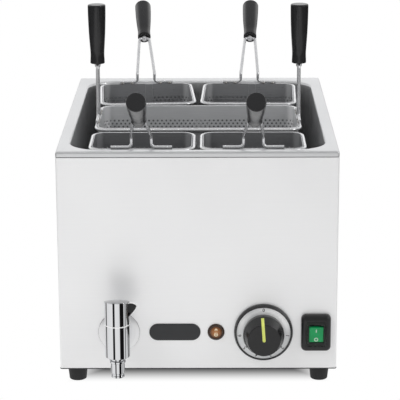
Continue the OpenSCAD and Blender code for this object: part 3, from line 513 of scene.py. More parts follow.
# Chrome plate over brass: a mirror with crisp painted reflections in dark bands, and softer ones on the rosette
TAP_CHROME = MirrorPlate("polished_chrome_plate", "#E2E3E5")
ROSETTE_CHROME = MirrorPlate("satin_chrome_plate", "#EBEBEC", roughness=0.3, dark="#3A3B3D", lid="#6A6B6E",
                             dark_bands=((-90.0, -34.0), (34.0, 90.0)), grey_bands=())
# Buffed chrome edges, white as a painted highlight: thin lines that stay bright from every side
SEAM_CHROME = SmoothMetal("polished_chrome_edge", WHITE, dark="#F2F2F3", metallic=0.2, roughness=0.2)
# Drawn tube, plated screws, brass and copper inside the cabinet: plain metals with handling marks
ELEMENT_STEEL = SmoothMetal("drawn_stainless_tube", "#8E8F91", dark="#5E5F62", roughness=0.38)
SCREW_STEEL = SmoothMetal("zinc_plated_steel", "#D6D8DA", dark="#A9ABAE", roughness=0.28, mark_mm=4.0)
TURNED_BRASS = SmoothMetal("turned_brass", "#D0AE66", dark="#A98746", roughness=0.28, mark_mm=5.0)
DRAWN_COPPER = SmoothMetal("drawn_copper", "#C68A5E", dark="#97623E", roughness=0.3, mark_mm=6.0)
# Phenolic grips: deep black, polished by the mould, with soft broad reflections
GRIP_BLACK = Moulded("black_phenolic_grip", "#131314", roughness=0.19, pale="#1C1C1E", grit_mm=3.0,
                     strength=0.01)
# ABS, polyamide and acrylic on the panel: blacks that differ in their gloss and in how fine their grain is
KNOB_BLACK = Moulded("black_abs_knob", "#0D0D0E", roughness=0.22, pale="#161617", grit_mm=0.6, strength=0.08)
RING_BLACK = Moulded("black_abs_ring", "#1D1D1F", roughness=0.26, pale="#2B2B2D", grit_mm=0.6)
FRAME_BLACK = Moulded("black_polyamide_frame", "#0F1011", roughness=0.3, pale="#17181A", grit_mm=0.5,
                      strength=0.08)
BADGE_BLACK = Moulded("black_acrylic_badge", "#1E1F21", roughness=0.3, pale="#26272A", grit_mm=1.5,
                      strength=0.04)
GLAND_BLACK = Moulded("black_polyamide_gland", "#1C1C1D", roughness=0.45, pale="#2A2A2B", grit_mm=0.7)
# Moulded rubber: a dull charcoal that takes no reflections
FOOT_RUBBER = Moulded("black_moulded_rubber", "#171717", roughness=0.62, pale="#222223", grit_mm=1.2,
                      strength=0.3)
# Ceramic and thermoset blocks: off-white and matt
PALE_MOULDING = Moulded("pale_ceramic_moulding", "#E3DFD4", roughness=0.5, pale="#EFECE4", grit_mm=1.0)
# Inlay and inks: flat even colours
POINTER_YELLOW = Moulded("yellow_green_inlay", "#C6CF5C", roughness=0.45, pale="#D6DD78")
DIAL_INK = Moulded("black_screen_ink", "#2A2A2B", pale="#3A3A3B", grit_mm=0.4)
MARK_WHITE = Moulded("white_pad_print", "#F2F3F0", roughness=0.45, pale="#FAFAF8", grit_mm=0.4)
LENS_CREAM = Moulded("cream_pad_print", "#EBD9B4", roughness=0.4, pale="#F3E6C8", grit_mm=0.4)
# Translucent polycarbonate rocker: a clear green with a soft gloss
ROCKER_GREEN = Moulded("green_translucent_rocker", "#009A55", roughness=0.3, pale="#04AC64", grit_mm=2.0,
                       strength=0.04)
# Soft clear PVC: see-through with a bright edge
COVER_CLEAR = Finish("clear_pvc_cover", "#F4F8F5", roughness=0.02,
                     sockets=(("Transmission Weight", 1.0), ("IOR", 1.05)))
# Turned aluminium: silver, with painted highlights, fans of light that spread from the spindle
DIAL_SILVER = TurnedFace("turned_aluminium_dial", WHITE, centre_mm=(DIAL_X, FRONT_Y, CONTROL_Z))
# Acrylic lamp: a dark glossy bezel round an amber lens, with a painted glow, brown in the middle, and painted
# shade, dark at the edge
BEZEL_BROWN = Moulded("dark_acrylic_bezel", "#2B1C12", roughness=0.16, pale="#3B281A", grit_mm=3.0,
                      strength=0.04)
LENS_AMBER = CoredLens("amber_acrylic_lens", "#C98243", roughness=0.12, centre_mm=(LAMP_X, FRONT_Y, CONTROL_Z))


@dataclass
class Skin:
    """Collects points and faces for one mesh."""

    points: list[Array] = field(default_factory=list)
    faces: list[Array] = field(default_factory=list)
    count: int = 0

    def add(self, points: Array) -> Array:
        """Adds points in millimetres.

        Args:
            points: Points in any layout, with a last axis of X, Y and Z.

        Returns:
            Their numbers, in the same layout.
        """
        flat = np.asarray(points, float).reshape(-1, 3)
        numbers = np.arange(self.count, self.count + len(flat)).reshape(np.shape(points)[:-1])
        self.points.append(flat)
        self.count += len(flat)
        return numbers

    def face(self, *corners: Array) -> None:
        """Adds faces from equally shaped arrays of corner numbers."""
        self.faces.append(np.stack([np.ravel(c) for c in corners], axis=1))

    def strip(self, low: Array, high: Array) -> None:
        """Joins two closed rows of numbers with quads that face left of the walk from low to high."""
        self.face(low, np.roll(low, -1), np.roll(high, -1), high)

    def sheet(self, numbers: Array, wrap_rows: bool = False) -> None:
        """Joins the closed rows of a grid of numbers.

        Args:
            numbers: Rows of point numbers.
            wrap_rows: Whether the last row joins the first.
        """
        rows = np.vstack([numbers, numbers[:1]]) if wrap_rows else numbers
        after = np.roll(rows, -1, axis=1)
        self.face(rows[:-1], after[:-1], after[1:], rows[1:])

    def fan(self, ring: Array, centre: Array, top: bool = True) -> None:
        """Closes a ring of numbers with triangles to a centre point.

        Args:
            ring: Point numbers round the hole.
            centre: Middle point, in millimetres.
            top: Whether the triangles face up the walk or down it.
        """
        middle = np.full(len(ring), self.add(np.asarray(centre, float).reshape(1, 3))[0])
        after = np.roll(ring, -1)
        self.face(middle, *((ring, after) if top else (after, ring)))

    def mesh(self, name: str, crease_deg: float) -> bpy.types.Mesh:
        """Writes the arrays into a smooth-shaded mesh, in metres, with sharp edges above the crease angle.

        Args:
            name: Mesh name.
            crease_deg: Angle past which an edge is sharp.

        Returns:
            The mesh.
        """
        mesh = bpy.data.meshes.new(name)
        corners = np.concatenate([f.ravel() for f in self.faces])
        totals = np.concatenate([np.full(len(f), f.shape[1]) for f in self.faces])
        starts = np.concatenate([[0], np.cumsum(totals)[:-1]])
        mesh.vertices.add(self.count)
        mesh.vertices.foreach_set("co", (np.concatenate(self.points) * MM).astype(np.float32).ravel())
        mesh.loops.add(len(corners))
        mesh.loops.foreach_set("vertex_index", corners.astype(np.int32))
        mesh.polygons.add(len(totals))
        mesh.polygons.foreach_set("loop_start", starts.astype(np.int32))
        mesh.polygons.foreach_set("loop_total", totals.astype(np.int32))
        mesh.polygons.foreach_set("use_smooth", np.ones(len(totals), bool))
        mesh.update(calc_edges=True)
        mesh.validate()
        mesh.set_sharp_from_angle(angle=math.radians(crease_deg))
        return mesh


def piece(name: str, skin: Skin, finish: Finish, body: str, stands_for: Sequence[str] = (),
          crease_deg: float = 32.0) -> None:
    """Makes a skin an object that rides on a body.

    Args:
        name: Object name.
        skin: Points and faces.
        finish: Its material.
        body: CAD body that carries it.
        stands_for: CAD nodes that it replaces.
        crease_deg: Angle past which an edge is sharp.
    """
    made = bpy.data.objects.new(name, skin.mesh(name, crease_deg))
    bpy.context.scene.collection.objects.link(made)
    made.data.materials.append(finish.material())
    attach(made, body)
    if stands_for:
        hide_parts(*stands_for)
    LOG.info("%s: %d faces on %s", name, len(made.data.polygons), body)


def repaint(node: str, finish: Finish) -> None:
    """Gives a carried-over CAD node its finish.

    Args:
        node: Name of the node.
        finish: Its material.
    """
    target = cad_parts[node]
    target.data.materials.clear()
    target.data.materials.append(finish.material())


def bent(points: Sequence[Sequence[float]], radii: float | Sequence[float], steps: int = 6) -> Array:
    """A path through points whose corners are arcs: each arc leaves the corner r tan(turn / 2) before it.

    Args:
        points: Corner points in any number of dimensions.
        radii: Bend radius, or one for each inner corner; 0 keeps a corner.
        steps: Pieces of each arc.

    Returns:
        Points of the path.
    """
    p = np.asarray(points, float)
    r = np.broadcast_to(np.asarray(radii, float), len(p) - 2)
    run = [p[:1]]
    share = np.linspace(0.0, 1.0, steps + 1)[:, None]
    for k in range(1, len(p) - 1):
        a, b = p[k] - p[k - 1], p[k + 1] - p[k]
        a, b = a / np.linalg.norm(a), b / np.linalg.norm(b)
        turn = math.acos(float(np.clip(a @ b, -1.0, 1.0)))
        if r[k - 1] <= 0.0 or turn < NO_TURN:
            run.append(p[k:k + 1])
            continue
        side = (b - a) / np.linalg.norm(b - a)
        centre = p[k] + side * r[k - 1] / math.cos(turn / 2)
        out = p[k] - a * r[k - 1] * math.tan(turn / 2) - centre
        run.append(centre + out * np.cos(turn * share) + a * r[k - 1] * np.sin(turn * share))
    return np.concatenate([*run, p[-1:]])


def tube(skin: Skin, path: Array, radius: float | Array, side: Sequence[float], sides: int = 16,
         closed: bool = False) -> None:
    """Carries a circle along a path: each ring stands square to the path, turned to a fixed side direction.

    Args:
        skin: Gets the tube.
        path: Points along the middle.
        radius: One radius or one for each point.
        side: Direction that is never along the path.
        sides: Points round the circle.
        closed: Whether the path ends where it begins.
    """
    ahead = np.roll(path, -1, axis=0) - np.roll(path, 1, axis=0) if closed else np.gradient(path, axis=0)
    ahead = ahead / np.linalg.norm(ahead, axis=1, keepdims=True)
    fixed = np.asarray(side, float)
    a = fixed - ahead * (ahead @ fixed)[:, None]
    a = a / np.linalg.norm(a, axis=1, keepdims=True)
    b = np.cross(ahead, a)
    angle = np.linspace(0.0, TURN, sides, endpoint=False)[None, :, None]
    reach = np.broadcast_to(np.asarray(radius, float), len(path))[:, None, None]
    rings = path[:, None] + reach * (np.cos(angle) * a[:, None] + np.sin(angle) * b[:, None])
    numbers = skin.add(rings)
    skin.sheet(numbers, wrap_rows=closed)
    if not closed:
        skin.fan(numbers[0], path[0], top=False)
        skin.fan(numbers[-1], path[-1])


@dataclass(frozen=True)
class Seat:
    """A local frame: where a piece's own axes stand on the object, in millimetres."""

    origin: Point
    axes: tuple[Point, ...]

    def put(self, local: Array) -> Array:
        """Moves local points onto the object."""
        return np.asarray(local, float) @ np.array(self.axes) + np.array(self.origin)


def on_panel(x: float, z: float = CONTROL_Z) -> Seat:
    """Seat on the front panel: local X right, Y up, Z out of the panel."""
    return Seat((x, FRONT_Y, z), ((1.0, 0.0, 0.0), (0.0, 0.0, 1.0), (0.0, -1.0, 0.0)))


def upright(x: float, y: float, z: float = 0.0) -> Seat:
    """Seat whose axes are the object's own."""
    return Seat((x, y, z), ((1.0, 0.0, 0.0), (0.0, 1.0, 0.0), (0.0, 0.0, 1.0)))


def lathe(skin: Skin, profile: Array, seat: Seat, segments: int = 72) -> None:
    """Spins a profile of radius and height about the seat's Z: x = r cos t, y = r sin t, z = h.

    Args:
        skin: Gets the surface.
        profile: Rows of radius and height, upwards along the outside. Ends on the axis become poles, and
            ends off the axis are joined to each other.
        seat: Where it stands.
        segments: Points round.
    """
    profile = np.asarray(profile, float)
    low, high = profile[0, 0] < NO_RADIUS, profile[-1, 0] < NO_RADIUS
    rows = profile[int(low):len(profile) - int(high)]
    t = np.linspace(0.0, TURN, segments, endpoint=False)
    local = np.stack([rows[:, :1] * np.cos(t), rows[:, :1] * np.sin(t),
                      np.repeat(rows[:, 1:], segments, axis=1)], axis=-1)
    numbers = skin.add(seat.put(local))
    skin.sheet(numbers, wrap_rows=not (low or high))
    if low:
        skin.fan(numbers[0], seat.put([0.0, 0.0, profile[0, 1]]), top=False)
    if high:
        skin.fan(numbers[-1], seat.put([0.0, 0.0, profile[-1, 1]]))


def spun(name: str, profile: Array, seat: Seat, finish: Finish, stands_for: Sequence[str] = (),
         segments: int = 96, crease_deg: float = 30.0, body: str = "cabinet") -> None:
    """Makes one piece of one profile, spun about the seat's Z.

    Args:
        name: Object name.
        profile: Rows of radius and height, as lathe takes them.
        seat: Where it stands.
        finish: Its material.
        stands_for: CAD nodes that it replaces.
        segments: Points round.
        crease_deg: Angle past which an edge is sharp.
        body: CAD body that carries it.
    """
    skin = Skin()
    lathe(skin, profile, seat, segments)
    piece(name, skin, finish, body, stands_for, crease_deg)


@dataclass(frozen=True)
class RoundedLoop:
    """A rectangle with round corners, walked anticlockwise from the foot of its right side."""

    half_w: float
    half_d: float
    radius: float

    def lengths(self) -> Array:
        """Lengths of the eight stretches: right side, corner, back side, corner and so on.

        Returns:
            Lengths in millimetres.
        """
        side, arc = 2 * (self.half_d - self.radius), self.radius * math.pi / 2
        end = 2 * (self.half_w - self.radius)
        return np.array([side, arc, end, arc, side, arc, end, arc])

    def at(self, way: Array) -> tuple[Array, Array]:
        """Points and outward normals at distances along the loop.

        Args:
            way: Distances from the start, in any layout.

        Returns:
            Points and normals, each with a last axis of X and Y.
        """
        ends = np.concatenate([[0.0], np.cumsum(self.lengths())])
        way = np.mod(way, ends[-1])
        part = np.clip(np.searchsorted(ends, way, side="right") - 1, 0, 7)
        gone = way - ends[part]
        quarter = (part // 2) * (math.pi / 2)
        bend = part % 2 == 1
        angle = quarter + np.where(bend, gone / max(self.radius, NO_LENGTH), 0.0)
        normal = np.stack([np.cos(angle), np.sin(angle)], axis=-1)
        reach_x, reach_y = self.half_w - self.radius, self.half_d - self.radius
        corner_x = np.array([1, -1, -1, 1])[part // 2] * reach_x
        corner_y = np.array([1, 1, -1, -1])[part // 2] * reach_y
        along = np.stack([-np.sin(quarter), np.cos(quarter)], axis=-1)
        back = np.where(bend, 0.0, self.lengths()[part] - gone)
        points = np.stack([corner_x, corner_y], axis=-1) + self.radius * normal - along * back[..., None]
        return points, normal

    def walk(self, side_steps: int, corner_steps: int) -> Array:
        """Points with a set count on every side and corner, so that loops of different sizes match.

        Args:
            side_steps: Points on each side.
            corner_steps: Points on each corner.

        Returns:
            Rows of X and Y.
        """
        ends = np.concatenate([[0.0], np.cumsum(self.lengths())])
        counts = [side_steps, corner_steps] * 4
        way = np.concatenate([ends[k] + self.lengths()[k] * np.arange(n) / n for k, n in enumerate(counts)])
        return self.at(way)[0]


# A loop, the shift of its centre along Y, and its height
Layer = tuple[RoundedLoop, float, float]


def stack(skin: Skin, loops: Sequence[Layer], seat: Seat, side_steps: int = 4,
          corner_steps: int = 8, low: bool = False, high: bool = False, wrap: bool = False) -> None:
    """Joins loops at their heights into one surface, upwards along the outside.

    Args:
        skin: Gets the surface.
        loops: Loop, shift of its centre along Y, and height.
        seat: Where it stands.
        side_steps: Points on each side.
        corner_steps: Points on each corner.
        low: Whether the first loop is closed.
        high: Whether the last loop is closed.
        wrap: Whether the last loop joins the first.
    """
    rows = []
    for loop, shift, z in loops:
        flat = loop.walk(side_steps, corner_steps) + np.array([0.0, shift])
        rows.append(np.column_stack([flat, np.full(len(flat), z)]))
    numbers = skin.add(seat.put(np.array(rows)))
    skin.sheet(numbers, wrap_rows=wrap)
    if low:
        skin.fan(numbers[0], seat.put([0.0, loops[0][1], loops[0][2]]), top=False)
    if high:
        skin.fan(numbers[-1], seat.put([0.0, loops[-1][1], loops[-1][2]]))


def level(half_w: float, half_d: float, radius: float, z: float) -> Layer:
    """A loop as stack takes it, centred on the seat at a height."""
    return RoundedLoop(half_w, half_d, radius), 0.0, z


def quarter_round(steps: int = 6) -> tuple[Array, Array]:
    """Sines and cosines of the angles from 0 to 90 degrees."""
    angle = np.linspace(0.0, math.pi / 2, steps + 1)
    return np.sin(angle), np.cos(angle)


@dataclass(frozen=True)
class Perforation:
    """Punched holes in staggered rows. The sheet is a grid at half the pitch, and each hole's centre is a
    grid point whose eight neighbours join the hole's eight points."""

    pitch: float = 5.75
    row: float = 4.1
    hole_r: float = 1.35

    def punch(self, skin: Skin, sides: Sequence[Callable[[Array, Array], Array]], u: Array, v: Array,
              rows: Array, cols: Array, wrap: bool) -> list[Array]:
        """Adds both faces of the punched field and the holes' walls.

        Args:
            skin: Gets the faces.
            sides: Front and back surface, each from distances u and v to points.
            u: Grid distances along.
            v: Grid distances up.
            rows: Row number of each hole's centre.
            cols: Column number of each hole's centre.
            wrap: Whether the last column joins the first.

        Returns:
            Numbers of the front's and the back's grid points.
        """
        eighth = np.arange(8) * TURN / 8
        step_u = np.array([1, 1, 0, -1, -1, -1, 0, 1])
        step_v = np.array([0, 1, 1, 1, 0, -1, -1, -1])
        hole_u = u[cols][:, None] + self.hole_r * np.cos(eighth)
        hole_v = v[rows][:, None] + self.hole_r * np.sin(eighth)
        grids, holes = [], []
        for front, surface in zip((True, False), sides):
            grid = skin.add(surface(*np.broadcast_arrays(u[None, :], v[:, None])))
            hole = skin.add(surface(hole_u, hole_v))
            at_u = cols[:, None] + step_u
            near = grid[rows[:, None] + step_v, at_u % len(u) if wrap else at_u]
            ring = [near, np.roll(near, -1, axis=1), np.roll(hole, -1, axis=1), hole]
            skin.face(*(ring if front else ring[::-1]))
            grids.append(grid)
            holes.append(hole)
        skin.face(holes[0], np.roll(holes[0], -1, axis=1), np.roll(holes[1], -1, axis=1), holes[1])
        return grids


@dataclass(frozen=True)
class Softbox:
    """A rectangular lamp that looks at a point, all in metres, and shows in shiny parts or not."""

    name: str
    place: Point
    aim: Point
    size: tuple[float, float]
    watts: float
    mirrored: bool = False

    def hang(self) -> None:
        """Adds the lamp to the scene."""
        data = bpy.data.lights.new(self.name, "AREA")
        data.shape = "RECTANGLE"
        data.size, data.size_y = self.size
        data.energy = self.watts
        lamp = bpy.data.objects.new(self.name, data)
        away = Vector(self.place) - Vector(self.aim)
        lamp.matrix_world = Matrix.Translation(self.place) @ away.to_track_quat("Z", "Y").to_matrix().to_4x4()
        lamp.visible_glossy = self.mirrored
        bpy.context.scene.collection.objects.link(lamp)


@dataclass
class Studio:
    """Floor, lamps, surroundings and camera."""

    place_mm: Point = (18.94, -2321.04, 814.15)
    pitch_deg: float = 15.393
    yaw_deg: float = 0.434
    roll_deg: float = 0.237
    lens_mm: float = 163.22
    sensor_mm: float = 36.0
    clip_m: float = 100.0
    floor_m: float = 30.0
    paper: str = "#C4C4C4"
    paper_glow: float = 0.3
    # The real shadow, deepened by the painted shade of a darker paper, fades out between these distances from the
    # footprint's edge, in millimetres
    shade_from: float = -62.0
    shade_to: float = -4.0
    shaded_paper: str = "#646464"
    # The table as shiny parts see it: metres of Y from back to front, and colours along them
    table_y: tuple[float, float] = (0.2, -1.0)
    table: Stops = ((0.0, "#A9A9A9"), (0.4, "#F3F3F3"), (1.0, WHITE))
    # Metres of X over which it dims to the right, metres past the footprint over which it ends, and levels there
    right_x: tuple[float, float] = (-0.2, 0.4)
    right_level: float = 0.84
    end_x: tuple[float, float] = (0.7, 1.1)
    end_level: float = 0.25
    # The room as shiny parts see it: colours round the compass, from the back over left, front and right
    walls: Stops = (
        (0.0, WHITE), (0.2, "#F4F4F4"), (0.33, "#B8B8B8"), (0.4, "#A4A4A4"), (0.6, "#9C9C9C"),
        (0.68, "#A8A8A8"), (0.82, "#F0F0F0"), (1.0, WHITE))
    ceiling: str = "#BCBCBC"
    # Upward part of the direction over which the walls turn into the ceiling
    ceiling_up: tuple[float, float] = (0.35, 0.65)
    sky: float = 0.5
    lamps: tuple[Softbox, ...] = (
        Softbox("key_softbox", (-1.6, -1.6, 2.2), (0.0, 0.0, 0.2), (1.4, 1.4), 30.0),
        Softbox("fill_softbox", (1.9, -1.2, 1.3), (0.0, 0.0, 0.2), (0.8, 1.6), 10.0, mirrored=True),
        Softbox("top_softbox", (0.0, 0.3, 2.4), (0.0, 0.1, 0.2), (1.2, 0.9), 44.0))

    def camera(self) -> None:
        """Places the camera: forward is turned by yaw and pitch, and the picture by roll."""
        p, y, r = (math.radians(a) for a in (self.pitch_deg, self.yaw_deg, self.roll_deg))
        ahead = Vector((-math.sin(y) * math.cos(p), math.cos(y) * math.cos(p), -math.sin(p)))
        right = Vector((math.cos(y), math.sin(y), 0.0))
        up = right.cross(ahead)
        right, up = right * math.cos(r) - up * math.sin(r), right * math.sin(r) + up * math.cos(r)
        data = bpy.data.cameras.new("photo_camera")
        data.sensor_width = self.sensor_mm
        data.lens = self.lens_mm
        data.clip_end = self.clip_m
        camera = bpy.data.objects.new("photo_camera", data)
        turned = Matrix((right, up, -ahead)).transposed().to_4x4()
        camera.matrix_world = Matrix.Translation(Vector(self.place_mm) * MM) @ turned
        bpy.context.scene.collection.objects.link(camera)
        bpy.context.scene.camera = camera

    def floor(self) -> None:
        """A white floor: matt paper for the light, and one look each for the camera and for shiny parts."""
        half = self.floor_m / 2
        mesh = bpy.data.meshes.new("studio_floor")
        mesh.from_pydata([(-half, -half, 0), (half, -half, 0), (half, half, 0), (-half, half, 0)], [],
                         [(0, 1, 2, 3)])
        plane = bpy.data.objects.new("studio_floor", mesh)
        bpy.context.scene.collection.objects.link(plane)
        material = bpy.data.materials.new("white_paper_floor")
        material.use_nodes = True
        tree = material.node_tree
        tree.nodes.clear()
        matt = add_node(tree, "BsdfDiffuse", inputs={"Color": linear(self.paper)})
        glow = add_node(tree, "Emission", inputs={"Color": linear(WHITE), "Strength": self.paper_glow})
        paper = add_node(tree, "AddShader", inputs={0: matt, 1: glow})
        place = add_node(tree, "TexCoord").outputs["Object"]
        reach = add_node(tree, "VectorMath", {"operation": "ABSOLUTE"}, {0: place})
        past = add_node(tree, "VectorMath", {"operation": "SUBTRACT"}, {
            0: reach, 1: (BODY_W / 2 * MM, BODY_D / 2 * MM, 0.0)}).outputs[0]
        seen = add_node(tree, "LightPath")
        bounced = add_node(tree, "MixShader", inputs={
            0: seen.outputs["Is Glossy Ray"], 1: paper, 2: self.mirrored_table(tree, place, past)})
        shown = add_node(tree, "MixShader", inputs={
            0: seen.outputs["Is Camera Ray"], 1: bounced, 2: self.shown_paper(tree, past)})
        add_node(tree, "OutputMaterial", inputs={"Surface": shown})
        mesh.materials.append(material)

    def shown_paper(self, tree: Tree, past: Socket) -> Socket:
        """The paper in the camera's view: darker matt under the body, so that it takes the shadow, deepened by
        painted shade, and white outside.

        It grows white with the distance from the footprint: the length of what lies outside the rectangle, or
        less than nothing inside it.

        Args:
            tree: Node tree of the floor.
            past: How far a place lies past the footprint's edge along each axis.

        Returns:
            The paper's shader.
        """
        outside = add_node(tree, "VectorMath", {"operation": "MAXIMUM"}, {0: past, 1: (0.0,) * 3})
        apart = add_node(tree, "VectorMath", {"operation": "LENGTH"}, {0: outside})
        sides = add_node(tree, "SeparateXYZ", inputs={0: past}).outputs
        nearest = add_node(tree, "Math", {"operation": "MAXIMUM"}, {0: sides[0], 1: sides[1]})
        inside = add_node(tree, "Math", {"operation": "MINIMUM"}, {0: nearest, 1: 0.0})
        distance = add_node(tree, "Math", {"operation": "ADD"}, {0: apart.outputs["Value"], 1: inside})
        clear = add_node(tree, "MapRange", SMOOTH, {
            "Value": distance, "From Min": self.shade_from * MM, "From Max": self.shade_to * MM})
        bright = add_node(tree, "Emission", inputs={"Color": linear(WHITE), "Strength": 1.0})
        shaded = add_node(tree, "BsdfDiffuse", inputs={"Color": linear(self.shaded_paper)})
        return add_node(tree, "MixShader", inputs={0: clear, 1: shaded, 2: bright}).outputs[0]

    def mirrored_table(self, tree: Tree, place: Socket, past: Socket) -> Socket:
        """The floor in shiny parts: a table that is white in front, grey behind and ends in a darker room.

        Its level is a ramp over the depth, times a fall to the right, times a fall far out to both sides.

        Args:
            tree: Node tree of the floor.
            place: Place on the floor.
            past: How far it lies past the footprint's edge along each axis.

        Returns:
            The table's shader.
        """
        axes, sides = (add_node(tree, "SeparateXYZ", inputs={0: v}).outputs for v in (place, past))
        ahead = add_node(tree, "MapRange", inputs={
            "Value": axes[1], "From Min": self.table_y[0], "From Max": self.table_y[1]})
        level = add_node(tree, "ValToRGB", inputs={0: ahead}, stops=self.table).outputs[0]
        for way, (start, end), last in ((axes[0], self.right_x, self.right_level),
                                        (sides[0], self.end_x, self.end_level)):
            fall = add_node(tree, "MapRange", SMOOTH, {
                "Value": way, "From Min": start, "From Max": end, "To Min": 1.0, "To Max": last})
            level = add_node(tree, "Math", {"operation": "MULTIPLY"}, {0: level, 1: fall}).outputs[0]
        return add_node(tree, "Emission", inputs={"Strength": level}).outputs[0]

    def surroundings(self) -> None:
        """A white studio, which shiny parts see bright behind and beside the object and grey before it.

        Its brightness for them is a ramp over the compass angle, which fades to the ceiling with height.
        """
        world = bpy.data.worlds.new("white_studio")
        bpy.context.scene.world = world
        world.use_nodes = True
        tree = world.node_tree
        tree.nodes.clear()
        axes = add_node(tree, "SeparateXYZ", inputs={
            0: add_node(tree, "TexCoord").outputs["Generated"]}).outputs
        front = add_node(tree, "Math", {"operation": "MULTIPLY"}, {0: axes[1], 1: -1.0})
        walls = add_node(tree, "ValToRGB", inputs={0: turn_share(tree, axes[0], front)}, stops=self.walls)
        high = add_node(tree, "MapRange", SMOOTH, {
            "Value": axes[2], "From Min": self.ceiling_up[0], "From Max": self.ceiling_up[1]})
        around = add_node(tree, "Mix", {"data_type": "RGBA"}, {0: high, 6: walls, 7: linear(self.ceiling)})
        mirrored, soft, white = (
            add_node(tree, "Background", inputs={"Color": colour, "Strength": strength})
            for colour, strength in ((around.outputs[2], 1.0), (linear(WHITE), self.sky), (linear(WHITE), 1.0)))
        seen = add_node(tree, "LightPath")
        lit = add_node(tree, "MixShader", inputs={0: seen.outputs["Is Glossy Ray"], 1: soft, 2: mirrored})
        shown = add_node(tree, "MixShader", inputs={0: seen.outputs["Is Camera Ray"], 1: lit, 2: white})
        add_node(tree, "OutputWorld", inputs={"Surface": shown})

    def build(self) -> None:
        """Builds the whole studio."""
        bpy.context.scene.view_settings.view_transform = "Standard"
        self.camera()
        self.floor()
        self.surroundings()
        for lamp in self.lamps:
            lamp.hang()


class HandlePlace(Enum):
    """Where a basket's handle stands, and which way it leans."""

    SIDE = "side"
    ENDS = "ends"


